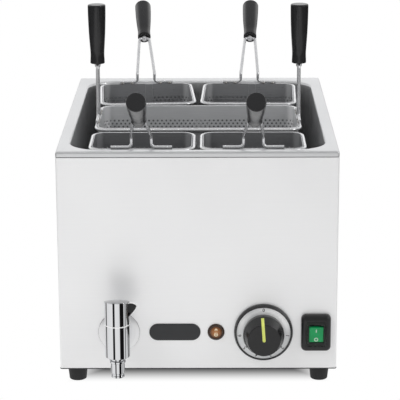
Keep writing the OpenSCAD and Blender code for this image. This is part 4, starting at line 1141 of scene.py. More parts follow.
@dataclass
class Basket:
    """One perforated basket with its rim wire, handles and grips. Sizes are over the rim wire."""

    name: str
    x: float
    y: float
    width: float
    depth: float
    turn_deg: float = 0.0
    handles: HandlePlace = HandlePlace.SIDE
    floor_z: float = 140.0
    top_z: float = 294.0
    floor_lift: float = 3.0
    corner_r: float = 14.0
    gauge: float = 1.0
    wire_d: float = 4.0
    # Plain sheet over the wall's highest holes, under its lowest ones, and round the floor's field
    plain_band: float = 17.8
    foot_band: float = 4.0
    floor_border: float = 7.0
    # Handle: its legs' gap at the rim and at the grip, its feet along the rim, its rise, lean and run
    leg_gap: float = 24.0
    neck_gap: float = 14.0
    foot: float = 25.0
    leg_rise: float = 13.0
    lean_deg: float = 62.0
    lean_run: float = 76.0
    upright_run: float = 54.0
    bend_r: float = 5.0
    # Direction that no stretch of the handle's wire follows
    aside: Point = (0.0, 0.9, -0.45)
    # Stud that carries the grip, with its collar
    stud_r: float = 2.5
    stud_l: float = 20.0
    collar_r: float = 3.9
    # Weld beads: half sizes, place in from the foot and above the rim, and from the foot's end and the leg
    weld_r: float = 2.3
    weld_half_l: float = 2.6
    weld_in: float = 1.1
    weld_up: float = 0.4
    weld_from_end: float = 4.0
    weld_from_leg: float = 8.0
    grip_l: float = 76.0
    grip_r: float = 11.0
    neck_r: float = 8.8
    # Share of the grip's length, and share of the swell from its neck to its full radius there
    swell: Pairs = (
        (0.0, 0.2), (0.05, 0.22), (0.1, 0.05), (0.16, -0.05), (0.3, 0.3), (0.5, 0.75), (0.7, 1.02),
        (0.85, 1.14), (0.95, 1.16))
    recess_r: float = 4.4
    recess_depth: float = 4.0
    crown_r: float = 6.0
    crown_edge_r: float = 1.6
    # Lap joint of the wall: place beside the middle, half width, thickness and gap under the rim
    seam_x: float = 4.0
    seam_half_w: float = 5.0
    seam_t: float = 0.6
    seam_gap: float = 0.5
    holes: Perforation = Perforation()
    steel: Finish = WORN_BASKET_STEEL

    @property
    def body(self) -> str:
        """CAD body of the basket."""
        return f"{self.name}_basket"

    def seat(self, x: float = 0.0, y: float = 0.0, z: float = 0.0, turn_deg: float = 0.0) -> Seat:
        """Seat at a point of the basket, turned about Z from the basket's own turn.

        Args:
            x: Right from the basket's middle.
            y: Back from it.
            z: Height on the object.
            turn_deg: Turn on top of the basket's own.

        Returns:
            The seat.
        """
        own, total = math.radians(self.turn_deg), math.radians(self.turn_deg + turn_deg)
        c, s = math.cos(own), math.sin(own)
        ct, st = math.cos(total), math.sin(total)
        return Seat((self.x + x * c - y * s, self.y + x * s + y * c, z),
                    ((ct, st, 0.0), (-st, ct, 0.0), (0.0, 0.0, 1.0)))

    def wall(self) -> None:
        """The wall: the punched sheet is walked along the rounded loop, its back face one gauge inside."""
        skin = Skin()
        loop = RoundedLoop(self.width / 2 - self.wire_d, self.depth / 2 - self.wire_d, self.corner_r)
        length = float(loop.lengths().sum())
        count = round(length / self.holes.pitch)
        height = self.top_z - self.floor_z - self.floor_lift
        top = height - self.plain_band
        rows = int((top - self.foot_band) // self.holes.row)
        u = np.arange(2 * count) * length / (2 * count)
        v = np.concatenate([[0.0], top - self.holes.row / 2 * np.arange(2 * rows, -1, -1), [height]])
        seat = self.seat(z=self.floor_z + self.floor_lift)

        def side(inset: float) -> Callable[[Array, Array], Array]:
            """Surface at an inset from the wall's outside.

            Args:
                inset: Distance inside.

            Returns:
                The surface.
            """
            def surface(way: Array, up: Array) -> Array:
                """Point on the loop, moved in along its normal, at a height."""
                flat, normal = loop.at(way)
                return seat.put(np.concatenate([flat - inset * normal, np.asarray(up)[..., None]], axis=-1))
            return surface

        k, i = np.meshgrid(np.arange(rows), np.arange(count), indexing="ij")
        at_row, at_col = (2 * k + 2).ravel(), (2 * i + k % 2).ravel() % (2 * count)
        out, inn = self.holes.punch(skin, (side(0.0), side(self.gauge)), u, v, at_row, at_col, True)
        for a in (0, len(v) - 2):
            skin.strip(out[a], out[a + 1])
            skin.strip(inn[a + 1], inn[a])
        skin.strip(out[-1], inn[-1])
        skin.strip(inn[0], out[0])
        piece(f"{self.body}_sheet", skin, self.steel, self.body,
              [f"{self.body}_wall"], crease_deg=50.0)

    def bottom(self) -> None:
        """The floor: a punched field inside a plain border that turns up to the wall."""
        skin = Skin()
        half_w, half_d = self.width / 2 - self.wire_d, self.depth / 2 - self.wire_d
        nx = int(2 * (half_w - self.floor_border) // self.holes.pitch)
        ny = int(2 * (half_d - self.floor_border) // self.holes.row) // 2 * 2 + 1
        u = (np.arange(2 * nx + 1) - nx) * self.holes.pitch / 2
        v = (np.arange(2 * ny + 1) - ny) * self.holes.row / 2
        seat = self.seat(z=self.floor_z)

        def side(z: float) -> Callable[[Array, Array], Array]:
            """Flat surface at a height.

            Args:
                z: The height.

            Returns:
                The surface.
            """
            def surface(x: Array, y: Array) -> Array:
                """The point itself, at the height."""
                return seat.put(np.stack([x, y, np.full(np.shape(x), z)], axis=-1))
            return surface

        k, i = np.meshgrid(np.arange(ny), np.arange(nx), indexing="ij")
        real = (k % 2 == 0) | (i < nx - 1)
        at_row, at_col = (2 * k + 1)[real], (2 * i + 1 + k % 2)[real]
        top, low = self.holes.punch(skin, (side(self.gauge), side(0.0)), u, v, at_row, at_col, False)
        odd = 2 * np.arange(1, ny, 2)
        for grid, front in ((top, True), (low, False)):
            for r0 in (odd, odd + 1):
                for c0 in (0, 2 * nx - 1):
                    quad = [grid[r0, c0], grid[r0, c0 + 1], grid[r0 + 1, c0 + 1], grid[r0 + 1, c0]]
                    skin.face(*(quad if front else quad[::-1]))
        edge = [np.concatenate([g[0, :-1], g[:-1, -1], g[-1, :0:-1], g[:0:-1, 0]]) for g in (top, low)]
        x = np.concatenate([u[:-1], np.full(2 * ny, u[-1]), u[:0:-1], np.full(2 * ny, u[0])])
        y = np.concatenate([np.full(2 * nx, v[0]), v[:-1], np.full(2 * nx, v[-1]), v[:0:-1]])

        def border(inset: float, z: float) -> Array:
            """The field's edge points pushed out to the rounded outline: spread to the rectangle, then
            drawn onto the corner arcs.

            Args:
                inset: Distance inside the outline.
                z: Height.

            Returns:
                Their numbers.
            """
            a, b, r = half_w - inset, half_d - inset, self.corner_r - inset
            far = np.column_stack([x * a / u[-1], y * b / v[-1]])
            core = np.clip(far, [-(a - r), -(b - r)], [a - r, b - r])
            off = far - core
            reach = np.linalg.norm(off, axis=1, keepdims=True)
            corner = (np.abs(off).min(axis=1) > NO_LENGTH)[:, None]
            flat = core + np.where(corner, off / np.maximum(reach, NO_LENGTH) * r, off)
            return skin.add(seat.put(np.column_stack([flat, np.full(len(flat), z)])))

        inner = [edge[0], border(self.gauge, self.gauge), border(self.gauge, self.floor_lift)]
        outer = [edge[1], border(0.0, 0.0), border(0.0, self.floor_lift)]
        for rings, front in ((inner, True), (outer, False)):
            for a, b in zip(rings[:-1], rings[1:]):
                skin.strip(*((b, a) if front else (a, b)))
        skin.strip(outer[-1], inner[-1])
        piece(f"{self.body}_tray", skin, self.steel, self.body,
              [f"{self.body}_floor"], crease_deg=50.0)

    def rim(self) -> None:
        """The rim: a circle carried round the wall's top edge."""
        skin = Skin()
        half = self.wire_d / 2
        loop = RoundedLoop(self.width / 2 - half, self.depth / 2 - half, self.corner_r + half)
        flat = loop.walk(14, 10)
        path = self.seat(z=self.top_z - half).put(np.column_stack([flat, np.zeros(len(flat))]))
        tube(skin, path, half, (0.0, 0.0, 1.0), closed=True)
        piece(f"{self.body}_rim_wire", skin, WIRE_STEEL, self.body,
              [f"{self.body}_rim"])

    def handle_seats(self) -> list[tuple[Seat, float, float]]:
        """Seat of each handle on the rim wire, with its lean and the length of its legs.

        Returns:
            Seat, lean in degrees and length for each handle.
        """
        z = self.top_z + self.wire_d / 2
        if self.handles is HandlePlace.SIDE:
            return [(self.seat(0.0, (self.depth - self.wire_d) / 2, z), self.lean_deg, self.lean_run)]
        x = (self.width - self.wire_d) / 2
        return [(self.seat(s * x, 0.0, z, -90.0 * s), 0.0, self.upright_run) for s in (1, -1)]

    def bail(self) -> None:
        """The handles: a wire from foot to foot, up, over to the lean, and across under the grip, with a
        stud for the grip and the welds that hold the feet."""
        skin, beads = Skin(), Skin()
        feet, legs, necks = self.leg_gap / 2 + self.foot, self.leg_gap / 2, self.neck_gap / 2
        for seat, lean_deg, run in self.handle_seats():
            lean = math.radians(lean_deg)
            far_y, far_z = run * math.sin(lean), self.leg_rise + run * math.cos(lean)
            corners = [(-feet, 0, 0), (-legs, 0, 0), (-legs, 0, self.leg_rise), (-necks, far_y, far_z),
                       (necks, far_y, far_z), (legs, 0, self.leg_rise), (legs, 0, 0), (feet, 0, 0)]
            path = bent(corners, self.bend_r, 8)
            tube(skin, seat.put(path), self.wire_d / 2, seat.put(self.aside) - np.array(seat.origin), 14)
            stud = Seat(tuple(seat.put([0.0, far_y, far_z])), self.leaning_axes(seat, lean))
            wide, thin, tip = self.collar_r, self.stud_r, self.stud_l
            lathe(skin, bent([(0, -3.2), (wide - 0.5, -3.0), (wide, 0.5), (wide - 0.7, 2.6), (thin, 3.0),
                              (thin, tip), (0, tip)], (0.8, 1.2, 0.5, 0, 0)), stud, 24)
            outer, inner = feet - self.weld_from_end, legs + self.weld_from_leg
            for x in (-outer, -inner, inner, outer):
                self.bead(beads, seat, x)
        kind = "handles" if self.handles is HandlePlace.ENDS else "handle"
        piece(f"{self.body}_bail", skin, WIRE_STEEL, self.body,
              [f"{self.body}_{kind}"])
        piece(f"{self.body}_welds", beads, WELD_STEEL, self.body)

    def leaning_axes(self, seat: Seat, lean: float) -> tuple[Point, ...]:
        """Axes of a seat tipped about its X, so that its Z runs along the leaning legs.

        Args:
            seat: Seat of the handle.
            lean: Lean in radians.

        Returns:
            The three axes.
        """
        x, y, z = (np.array(a) for a in seat.axes)
        return (tuple(x), tuple(y * math.cos(lean) - z * math.sin(lean)),
                tuple(z * math.cos(lean) + y * math.sin(lean)))

    def bead(self, skin: Skin, seat: Seat, x: float) -> None:
        """A weld between a foot and the rim: an ellipsoid, longer along the wire.

        Args:
            skin: Gets the bead.
            seat: Seat of the handle.
            x: Place along the rim.
        """
        spot = seat.put([x, -self.weld_in, self.weld_up - self.wire_d / 2])
        t = np.linspace(0, math.pi, 9)
        shape = np.column_stack([self.weld_r * np.sin(t), -self.weld_half_l * np.cos(t)])
        along = (seat.axes[2], seat.axes[1], tuple(-np.array(seat.axes[0])))
        lathe(skin, shape, Seat(tuple(spot), along), 12)

    def grips(self) -> None:
        """The grips: a turned profile that swells from the neck, with a rounded end and a neck recess.

        The swell is drawn straight between its knots and then smoothed by the mean of seven neighbours.
        """
        skin = Skin()
        gain, full = self.grip_r - self.neck_r, self.grip_l
        places, shares = np.array(self.swell).T
        along = np.linspace(0.02, 0.96, 48)
        curve = np.interp(along, places, shares)
        smooth = np.convolve(np.pad(curve, 3, mode="edge"), np.ones(7) / 7, mode="valid")
        lip, end = (self.neck_r + share * gain for share in shares[[0, -1]])
        barrel = np.column_stack([self.neck_r + gain * smooth, along * full])
        wide, deep = self.recess_r, self.recess_depth
        mouth = bent([(0, deep), (wide - 1.2, deep), (wide, 0.0), (lip, 0.0), barrel[0]], (0, 0.5, 0.8))
        crown = bent([barrel[-1], (end, full), (self.crown_r, full), (0.0, full)], (self.crown_edge_r, 0), 10)
        profile = np.concatenate([mouth[:-1], barrel, crown[1:]])
        for seat, lean_deg, run in self.handle_seats():
            lean = math.radians(lean_deg)
            foot = seat.put([0.0, (run + self.wire_d / 2) * math.sin(lean),
                             self.leg_rise + (run + self.wire_d / 2) * math.cos(lean)])
            lathe(skin, profile, Seat(tuple(foot), self.leaning_axes(seat, lean)), 64)
        kind = "grips" if self.handles is HandlePlace.ENDS else "grip"
        piece(f"{self.body}_{kind}_turned", skin, GRIP_BLACK, self.body,
              [f"{self.body}_{kind}"], crease_deg=40.0)

    def lap_seam(self) -> None:
        """The wall's lap joint: a thin upright strip with a rounded free edge inside the handle's side."""
        skin = Skin()
        inside = self.depth / 2 - self.wire_d - self.gauge
        height = self.top_z - self.floor_z - self.floor_lift - self.seam_gap
        seat = self.seat(self.seam_x, inside, self.floor_z + self.floor_lift + height / 2)
        flat = Seat(seat.origin, (seat.axes[0], seat.axes[2], tuple(-np.array(seat.axes[1]))))
        half, thick = self.seam_half_w, self.seam_t
        loops = [level(half, height / 2, 0.6, 0.0), level(half, height / 2, 0.6, thick - 0.25),
                 level(half - 0.3, height / 2 - 0.3, 0.5, thick)]
        stack(skin, loops, flat, low=True, high=True)
        piece(f"{self.body}_lap_seam", skin, self.steel, self.body)

    def build(self) -> None:
        """Builds the basket's pieces."""
        self.wall()
        self.bottom()
        self.rim()
        self.bail()
        self.grips()
        if self.handles is HandlePlace.SIDE:
            self.lap_seam()


@dataclass
class Cabinet:
    """Casing, tank, feet and what is fixed inside them."""

    inner_half_w: float = 155.0
    inner_front: float = -208.0
    inner_back: float = 196.0
    floor_z: float = 112.0
    tank_r: float = 40.0
    edge_r: float = 12.0
    lip_r: float = 3.0
    rim_r: float = 2.4
    rim_gap: float = 0.9
    # Corners of the rim, seen from above, which get tighter inwards down to the least
    rim_corner_r: float = 2.5
    least_corner_r: float = 0.6
    # Bead of the hem: radius, place in from the casing and above its edge, bend, and gap to the back
    hem_r: float = 0.7
    hem_in: float = 0.3
    hem_up: float = 0.4
    hem_bend_r: float = 2.0
    hem_end: float = 4.0
    foot_x: float = 150.0
    foot_y: float = 198.0
    foot_h: float = 20.0
    foot_low_r: float = 10.5
    foot_top_r: float = 12.5
    # Screw hole of a foot, and the recess for the screw's head
    screw_r: float = 2.2
    head_r: float = 4.4
    head_depth: float = 10.0

    def tank(self) -> None:
        """The pressed tank and its rolled rim: one closed stack of loops, from under the floor, out below the
        flange, round the rim and back over the lip and down to the floor."""
        mid = (self.inner_front + self.inner_back) / 2
        half_d = (self.inner_back - self.inner_front) / 2
        s, c = quarter_round()

        def pan(out: float, z: float) -> Layer:
            """Loop of the tank at a distance outside its inner wall."""
            return RoundedLoop(self.inner_half_w + out, half_d + out, self.tank_r + out), mid, z

        def rim(inset: float, z: float) -> Layer:
            """Loop of the rim at a distance inside its outer edge.

            Args:
                inset: Distance inside.
                z: Height.

            Returns:
                Loop, shift and height.
            """
            corner = max(self.rim_corner_r - inset / 2, self.least_corner_r)
            return RoundedLoop(BODY_W / 2 - inset, BODY_D / 2 - inset, corner), 0.0, z

        under, low = self.edge_r + SHEET, CASING_TOP_Z + self.rim_gap
        inner_r = self.rim_r - SHEET
        rising, falling = list(zip(s, c)), list(zip(s[::-1], c[::-1]))
        loops = [pan(SHEET - under + under * a, self.floor_z - SHEET + under * (1 - b)) for a, b in rising]
        loops += [pan(SHEET, FLANGE_Z - SHEET), rim(self.rim_r, FLANGE_Z - SHEET)]
        loops += [rim(self.rim_r - inner_r * a, FLANGE_Z - self.rim_r + inner_r * b) for a, b in rising[1:]]
        loops += [rim(SHEET, low), rim(0.0, low)]
        loops += [rim(self.rim_r * (1 - a), FLANGE_Z - self.rim_r + self.rim_r * b) for a, b in falling]
        loops += [pan(self.lip_r * (1 - b), FLANGE_Z - self.lip_r + self.lip_r * a) for a, b in falling]
        loops += [pan(-self.edge_r * (1 - a), self.floor_z + self.edge_r * (1 - b)) for a, b in falling]
        skin = Skin()
        stack(skin, loops, upright(0.0, 0.0), 10, 14, low=True, high=True)
        piece("pressed_tank", skin, TANK_STEEL, "cabinet", ["basin"], crease_deg=40.0)

    def hem(self) -> None:
        """The casing's folded lower edge: a fine round bead along its sides and front, dark with painted shade."""
        skin = Skin()
        x, y, z = BODY_W / 2 - self.hem_in, BODY_D / 2 - self.hem_in, self.foot_h + self.hem_up
        back = y - self.hem_end
        path = bent([(-x, back, z), (-x, -y, z), (x, -y, z), (x, back, z)], self.hem_bend_r)
        tube(skin, path, self.hem_r, (0.0, 0.0, 1.0), 10)
        piece("casing_hem_painted_shade", skin, HEM_STEEL, "cabinet")

    def feet(self) -> None:
        """Tapered rubber feet with a soft lower edge and a screw recess."""
        skin = Skin()
        hole, head, deep = self.screw_r, self.head_r, self.head_depth
        low, wide, top = self.foot_low_r, self.foot_top_r, self.foot_h
        outline = bent([(hole, deep), (head, deep), (head, 0.0), (low, 0.0), (wide, top - 1.0), (wide, top),
                        (hole, top)], (0, 0.6, 1.6, 0.6, 0.3))
        for x in (-1, 1):
            for y in (-1, 1):
                lathe(skin, outline, upright(x * self.foot_x, y * self.foot_y), 48)
        piece("moulded_feet", skin, FOOT_RUBBER, "cabinet", ["rubber_feet"], crease_deg=30.0)

    def carried(self) -> None:
        """Finishes the solids that are shown as they are."""
        finishes = {
            "body_shell": CASING_STEEL, "rear_panel": CASING_STEEL, "base_plate": BASE_STEEL,
            "false_bottom": TANK_STEEL, "foot_screws": SCREW_STEEL, "panel_screws": SCREW_STEEL,
            "heating_element": ELEMENT_STEEL, "drain_elbow": ELEMENT_STEEL, "element_nuts": TURNED_BRASS,
            "tap_locknut": TURNED_BRASS, "tap_stem": TURNED_BRASS, "thermostat_probe": DRAWN_COPPER,
            "thermostat_spindle": ELEMENT_STEEL, "lamp_body": PALE_MOULDING, "thermostat_body": PALE_MOULDING,
            "terminal_block": PALE_MOULDING, "switch_body": FRAME_BLACK, "cable_gland": GLAND_BLACK,
        }
        for node, finish in finishes.items():
            repaint(node, finish)

    def build(self) -> None:
        """Builds and dresses the cabinet."""
        self.tank()
        self.hem()
        self.feet()
        self.carried()


@dataclass
class Tap:
    """Chrome drain tap: wall rosette, body with tail, spout and turning cap with its lever ear."""

    x: float = TAP_X
    y: float = -262.0
    reach: float = 42.0
    seam_z: float = 93.1
    low_z: float = 52.1
    radius: float = 15.0
    bore_r: float = 6.0
    # Rosette: radius, thickness and how far its cone comes in
    rosette_r: float = 25.35
    rosette_t: float = 2.4
    rosette_cone: float = 4.8
    # Tail: radius, bore, reach behind the panel, end before the tap's axis, and the collar on it
    tail_r: float = 9.0
    tail_bore_r: float = 4.5
    tail_in: float = 16.0
    tail_end: float = 11.0
    collar_r: float = 10.6
    collar_from: float = 3.2
    # Spout: length, bore, and radii of its lip, its neck, its pipe and the band round it
    spout_l: float = 26.0
    spout_bore_r: float = 5.5
    spout_lip_r: float = 8.2
    spout_neck_r: float = 7.7
    spout_r: float = 8.5
    spout_band_r: float = 9.7
    # Cap: height, gap over the body, fall of its top to the back, and the socket for the stem
    cap_h: float = 31.0
    cap_gap: float = 0.3
    top_slope_deg: float = 10.0
    socket_r: float = 4.1
    socket_l: float = 20.0
    socket_share: float = 0.65
    # Ear: reach, where it leaves the cap, its foot and head below the cap's top, its lean and fullness
    ear_reach: float = 26.0
    ear_leave_deg: float = 62.0
    ear_widest_deg: float = 60.0
    ear_back_deg: float = 16.0
    ear_foot: float = 19.5
    ear_head: float = 1.2
    ear_lean: float = 1.3
    ear_fullness: float = 0.9
    # Share of the ear's height, and radius of the bead on its edge there
    bead: Pairs = ((0.0, 0.12), (0.35, 0.25), (0.6, 0.8), (0.85, 1.0), (1.0, 0.5))

    def rosette(self) -> None:
        """A thin coned disc with a rounded edge."""
        r, t, hole = self.rosette_r, self.rosette_t, self.tail_r + 0.1
        profile = bent([(hole, 0.0), (r, 0.0), (r, t / 2), (r - self.rosette_cone, t), (hole, t)], (0.2, 0.5, 1.5))
        spun("tap_wall_rosette", profile, on_panel(self.x), ROSETTE_CHROME, ["tap_rosette"])

    def trunk(self) -> None:
        """The upright body and the tail that carries it through the rosette."""
        skin = Skin()
        bore, r, low, high = self.bore_r, self.radius, self.low_z, self.seam_z
        barrel = bent([(bore, low), (r, low), (r, high), (bore, high)], (1.2, 0.5))
        lathe(skin, barrel, upright(self.x, self.y), 96)
        hole, pipe, band, a = self.tail_bore_r, self.tail_r, self.collar_r, self.collar_from
        start, end = -self.tail_in, self.reach - self.tail_end
        tail = bent([(hole, start), (pipe, start), (pipe, a), (band, a + 1.2), (band, a + 4.2), (pipe, a + 5.4),
                     (pipe, end), (hole, end)], (0.4, 0.4, 0.6, 0.6, 0.4, 0.4))
        lathe(skin, tail, on_panel(self.x), 64)
        piece("tap_trunk", skin, TAP_CHROME, "cabinet", ["tap_body"], crease_deg=30.0)

    def seam(self) -> None:
        """The polished edge between body and cap: a rounded ring spun about the tap's axis, white as a painted
        highlight.
        """
        r, z = self.radius, self.seam_z
        profile = bent([(r - 1.0, z - 0.6), (r + 0.2, z - 0.6), (r + 0.2, z + 0.8), (r - 1.0, z + 0.8)], 0.5)
        spun("tap_seam_ring", profile, upright(self.x, self.y), SEAM_CHROME, crease_deg=40.0)

    def spout(self) -> None:
        """A turned spout with a neck, a collar and a beaded lip."""
        top, low = self.low_z, self.low_z - self.spout_l
        bore, lip, neck = self.spout_bore_r, self.spout_lip_r, self.spout_neck_r
        pipe, band = self.spout_r, self.spout_band_r
        profile = bent([(bore, low), (lip, low), (lip, low + 2.0), (neck, low + 3.0), (neck, low + 5.0),
                        (pipe, low + 6.0), (pipe, top - 8.0), (band, top - 7.2), (band, top - 4.8),
                        (lip, top - 4.0), (lip, top), (bore, top)],
                       (0.6, 0.4, 0.3, 0.3, 0.4, 0.3, 0.5, 0.5, 0.3, 0.2))
        spun("tap_turned_spout", profile, upright(self.x, self.y), TAP_CHROME, ["tap_spout"],
             segments=72)

    def cap(self) -> None:
        """The cap: a cylinder that a flat ear leaves along a tangent, r = R / cos(t - t0) up to the ear's tip and
        then back to R. The tip's reach is a half wave of the height below the top."""
        skin, edge = Skin(), Skin()
        low, high = self.seam_z + self.cap_gap, self.seam_z + self.cap_h
        foot, head = high - self.ear_foot, high - self.ear_head
        r, leave = self.radius, math.radians(self.ear_leave_deg)
        t = np.linspace(-math.pi, math.pi, 288, endpoint=False)
        below = 6
        h = np.concatenate([np.linspace(low + 0.5, foot - 0.5, below), np.linspace(foot, head, 36)])
        rise = np.clip((h - foot) / (head - foot), 0.0, 1.0)
        tip_r = r + (self.ear_reach - r) * np.sin(math.pi * rise ** self.ear_lean) ** self.ear_fullness
        tip = (leave + np.arccos(r / tip_r))[:, None]
        way = t[None, :] + math.pi / 2
        blade = r / np.cos(np.clip(way - leave, 0.0, math.radians(self.ear_widest_deg)))
        fall = np.clip((way - tip) / math.radians(self.ear_back_deg), 0.0, 1.0)
        back = tip_r[:, None] + (r - tip_r[:, None]) * fall * fall * (3.0 - 2.0 * fall)
        reach = np.where(way < leave, r, np.where(way < tip, blade, back))
        slope = math.tan(math.radians(self.top_slope_deg))

        def ring(out: float | Array, z: float) -> Array:
            """Ring of the cap, which sinks towards the back as the height nears the sloping top."""
            sunk = z - slope * (r + out * np.sin(t)) * np.clip((z - low) / (high - low), 0.0, 1.0)
            return np.column_stack([out * np.cos(t), out * np.sin(t), sunk])

        seat = upright(self.x, self.y)
        end = low + self.socket_l
        rows = [ring(self.socket_r, end), ring(self.socket_r, low), ring(r - 0.5, low), ring(r - 0.15, low + 0.15)]
        rows += [ring(out, z) for out, z in zip(reach, h)]
        rows += [ring(r + out, high - down) for out, down in ((0.35, 1.0), (0.5, 0.6), (0.3, 0.15), (-0.3, 0.0))]
        numbers = skin.add(seat.put(np.array(rows)))
        skin.sheet(numbers)
        skin.fan(numbers[0], seat.put([0.0, 0.0, end - slope * r * self.socket_share]), top=False)
        skin.fan(numbers[-1], seat.put([0.0, 0.0, high - slope * r]))
        turn = tip[:, 0] - math.pi / 2
        sunk = h - slope * (r + tip_r * np.sin(turn)) * (h - low) / (high - low)
        line = np.column_stack([tip_r * np.cos(turn), tip_r * np.sin(turn), sunk])
        shown = slice(below + 2, None)
        # The bead on the ear's edge is a painted highlight: a white line along the top of the ear
        tube(edge, seat.put(line[shown]), np.interp(rise[shown], *zip(*self.bead)), (0.0, 1.0, 0.0), 12)
        piece("tap_lever_highlight_edge", edge, SEAM_CHROME, "tap_lever", crease_deg=40.0)
        piece("tap_lever_cap", skin, TAP_CHROME, "tap_lever", ["tap_handle"], crease_deg=35.0)

    def build(self) -> None:
        """Builds the tap's pieces."""
        self.rosette()
        self.trunk()
        self.seam()
        self.spout()
        self.cap()


@dataclass
class Thermostat:
    """Dial with its black ring, silver face and numerals, and the turning knob."""

    x: float = DIAL_X
    dial_r: float = 36.0
    ring_w: float = 3.0
    ring_h: float = 7.0
    face_t: float = 5.4
    hub_r: float = 5.0
    knob_back: float = 8.0
    knob_r: float = 25.1
    knob_face_r: float = 19.8
    knob_h: float = 25.0
    knob_wall: float = 2.5
    skirt: float = 8.0
    bore_r: float = 3.05
    bore_l: float = 16.0
    numeral_r: float = 29.4
    numeral_h: float = 4.2
    # A figure's height as a share of the font's size, its extra weight, and the ink's height on the face
    figure_share: float = 0.7
    figure_weight: float = 0.08
    ink_t: float = 0.06
    numbers: int = 6
    first_deg: float = 96.0
    step_deg: float = 33.6

    def ring(self) -> None:
        """The ring: a rounded trapezium spun about the dial's axis."""
        a, b, h = self.dial_r - self.ring_w, self.dial_r, self.ring_h
        profile = bent([(a, 0.0), (b, 0.0), (b, h / 2), (b - self.ring_w / 2, h), (a, h), (a, 0.5)],
                       (0.0, 0.6, 0.7, 0.4))
        spun("dial_outer_ring", profile, on_panel(self.x), RING_BLACK, ["dial_bezel"])

    def face(self) -> None:
        """The face: a disc with a central hole and a soft edge round it."""
        hub, r, t = self.hub_r, self.dial_r - self.ring_w - 0.1, self.face_t
        profile = np.array([(hub, 0.0), (r, 0.0), (r, t), (r - 1.0, t), (hub + 0.2, t), (hub, t - 0.2)])
        spun("dial_turned_face", profile, on_panel(self.x), DIAL_SILVER, ["dial_face"])

    def numerals(self) -> None:
        """Numerals round the face, each turned with its place on the circle."""
        skin = Skin()
        seat = on_panel(self.x)
        marks = [("0", 0.0)] + [(str(n + 1), self.first_deg + n * self.step_deg) for n in range(self.numbers)]
        for figure, degrees in marks:
            curve = bpy.data.curves.new("numeral", "FONT")
            curve.body = figure
            curve.size = self.numeral_h / self.figure_share
            curve.align_x, curve.align_y = "CENTER", "CENTER"
            curve.resolution_u = 3
            curve.offset = self.figure_weight
            holder = bpy.data.objects.new("numeral", curve)
            bpy.context.scene.collection.objects.link(holder)
            bpy.context.view_layer.update()
            shape = holder.evaluated_get(bpy.context.evaluated_depsgraph_get()).to_mesh()
            flat = np.empty(len(shape.vertices) * 3)
            shape.vertices.foreach_get("co", flat)
            flat = flat.reshape(-1, 3)
            turn = -math.radians(degrees)
            c, s = math.cos(turn), math.sin(turn)
            up = flat[:, 1] + self.numeral_r
            local = np.column_stack([flat[:, 0] * c - up * s, flat[:, 0] * s + up * c,
                                     np.full(len(flat), self.face_t + self.ink_t)])
            numbers = skin.add(seat.put(local))
            for polygon in shape.polygons:
                skin.face(*(numbers[[v]] for v in polygon.vertices))
            bpy.data.objects.remove(holder)
            bpy.data.curves.remove(curve)
        piece("dial_numerals", skin, DIAL_INK, "cabinet")

    def knob(self) -> None:
        """The knob: straight skirt, tapered side and a flat face with a soft edge, hollow behind."""
        r, inner, f, h = self.knob_r, self.knob_r - self.knob_wall, self.knob_face_r, self.knob_h
        shape = bent([(self.bore_r, self.bore_l), (self.bore_r, 1.5), (inner, 1.5), (inner, 0.0), (r, 0.0),
                      (r, self.skirt), (f, h), (0.0, h)], (0, 0.4, 0.4, 0.8, 2.2, 1.2))
        profile = np.concatenate([[(0.0, self.bore_l)], shape]) + np.array([0.0, self.knob_back])
        spun("thermostat_knob", profile, on_panel(self.x), KNOB_BLACK, ["control_knob"], body="knob")

    def build(self) -> None:
        """Builds the dial and the knob."""
        self.ring()
        self.face()
        self.numerals()
        self.knob()
        repaint("knob_pointer", POINTER_YELLOW)


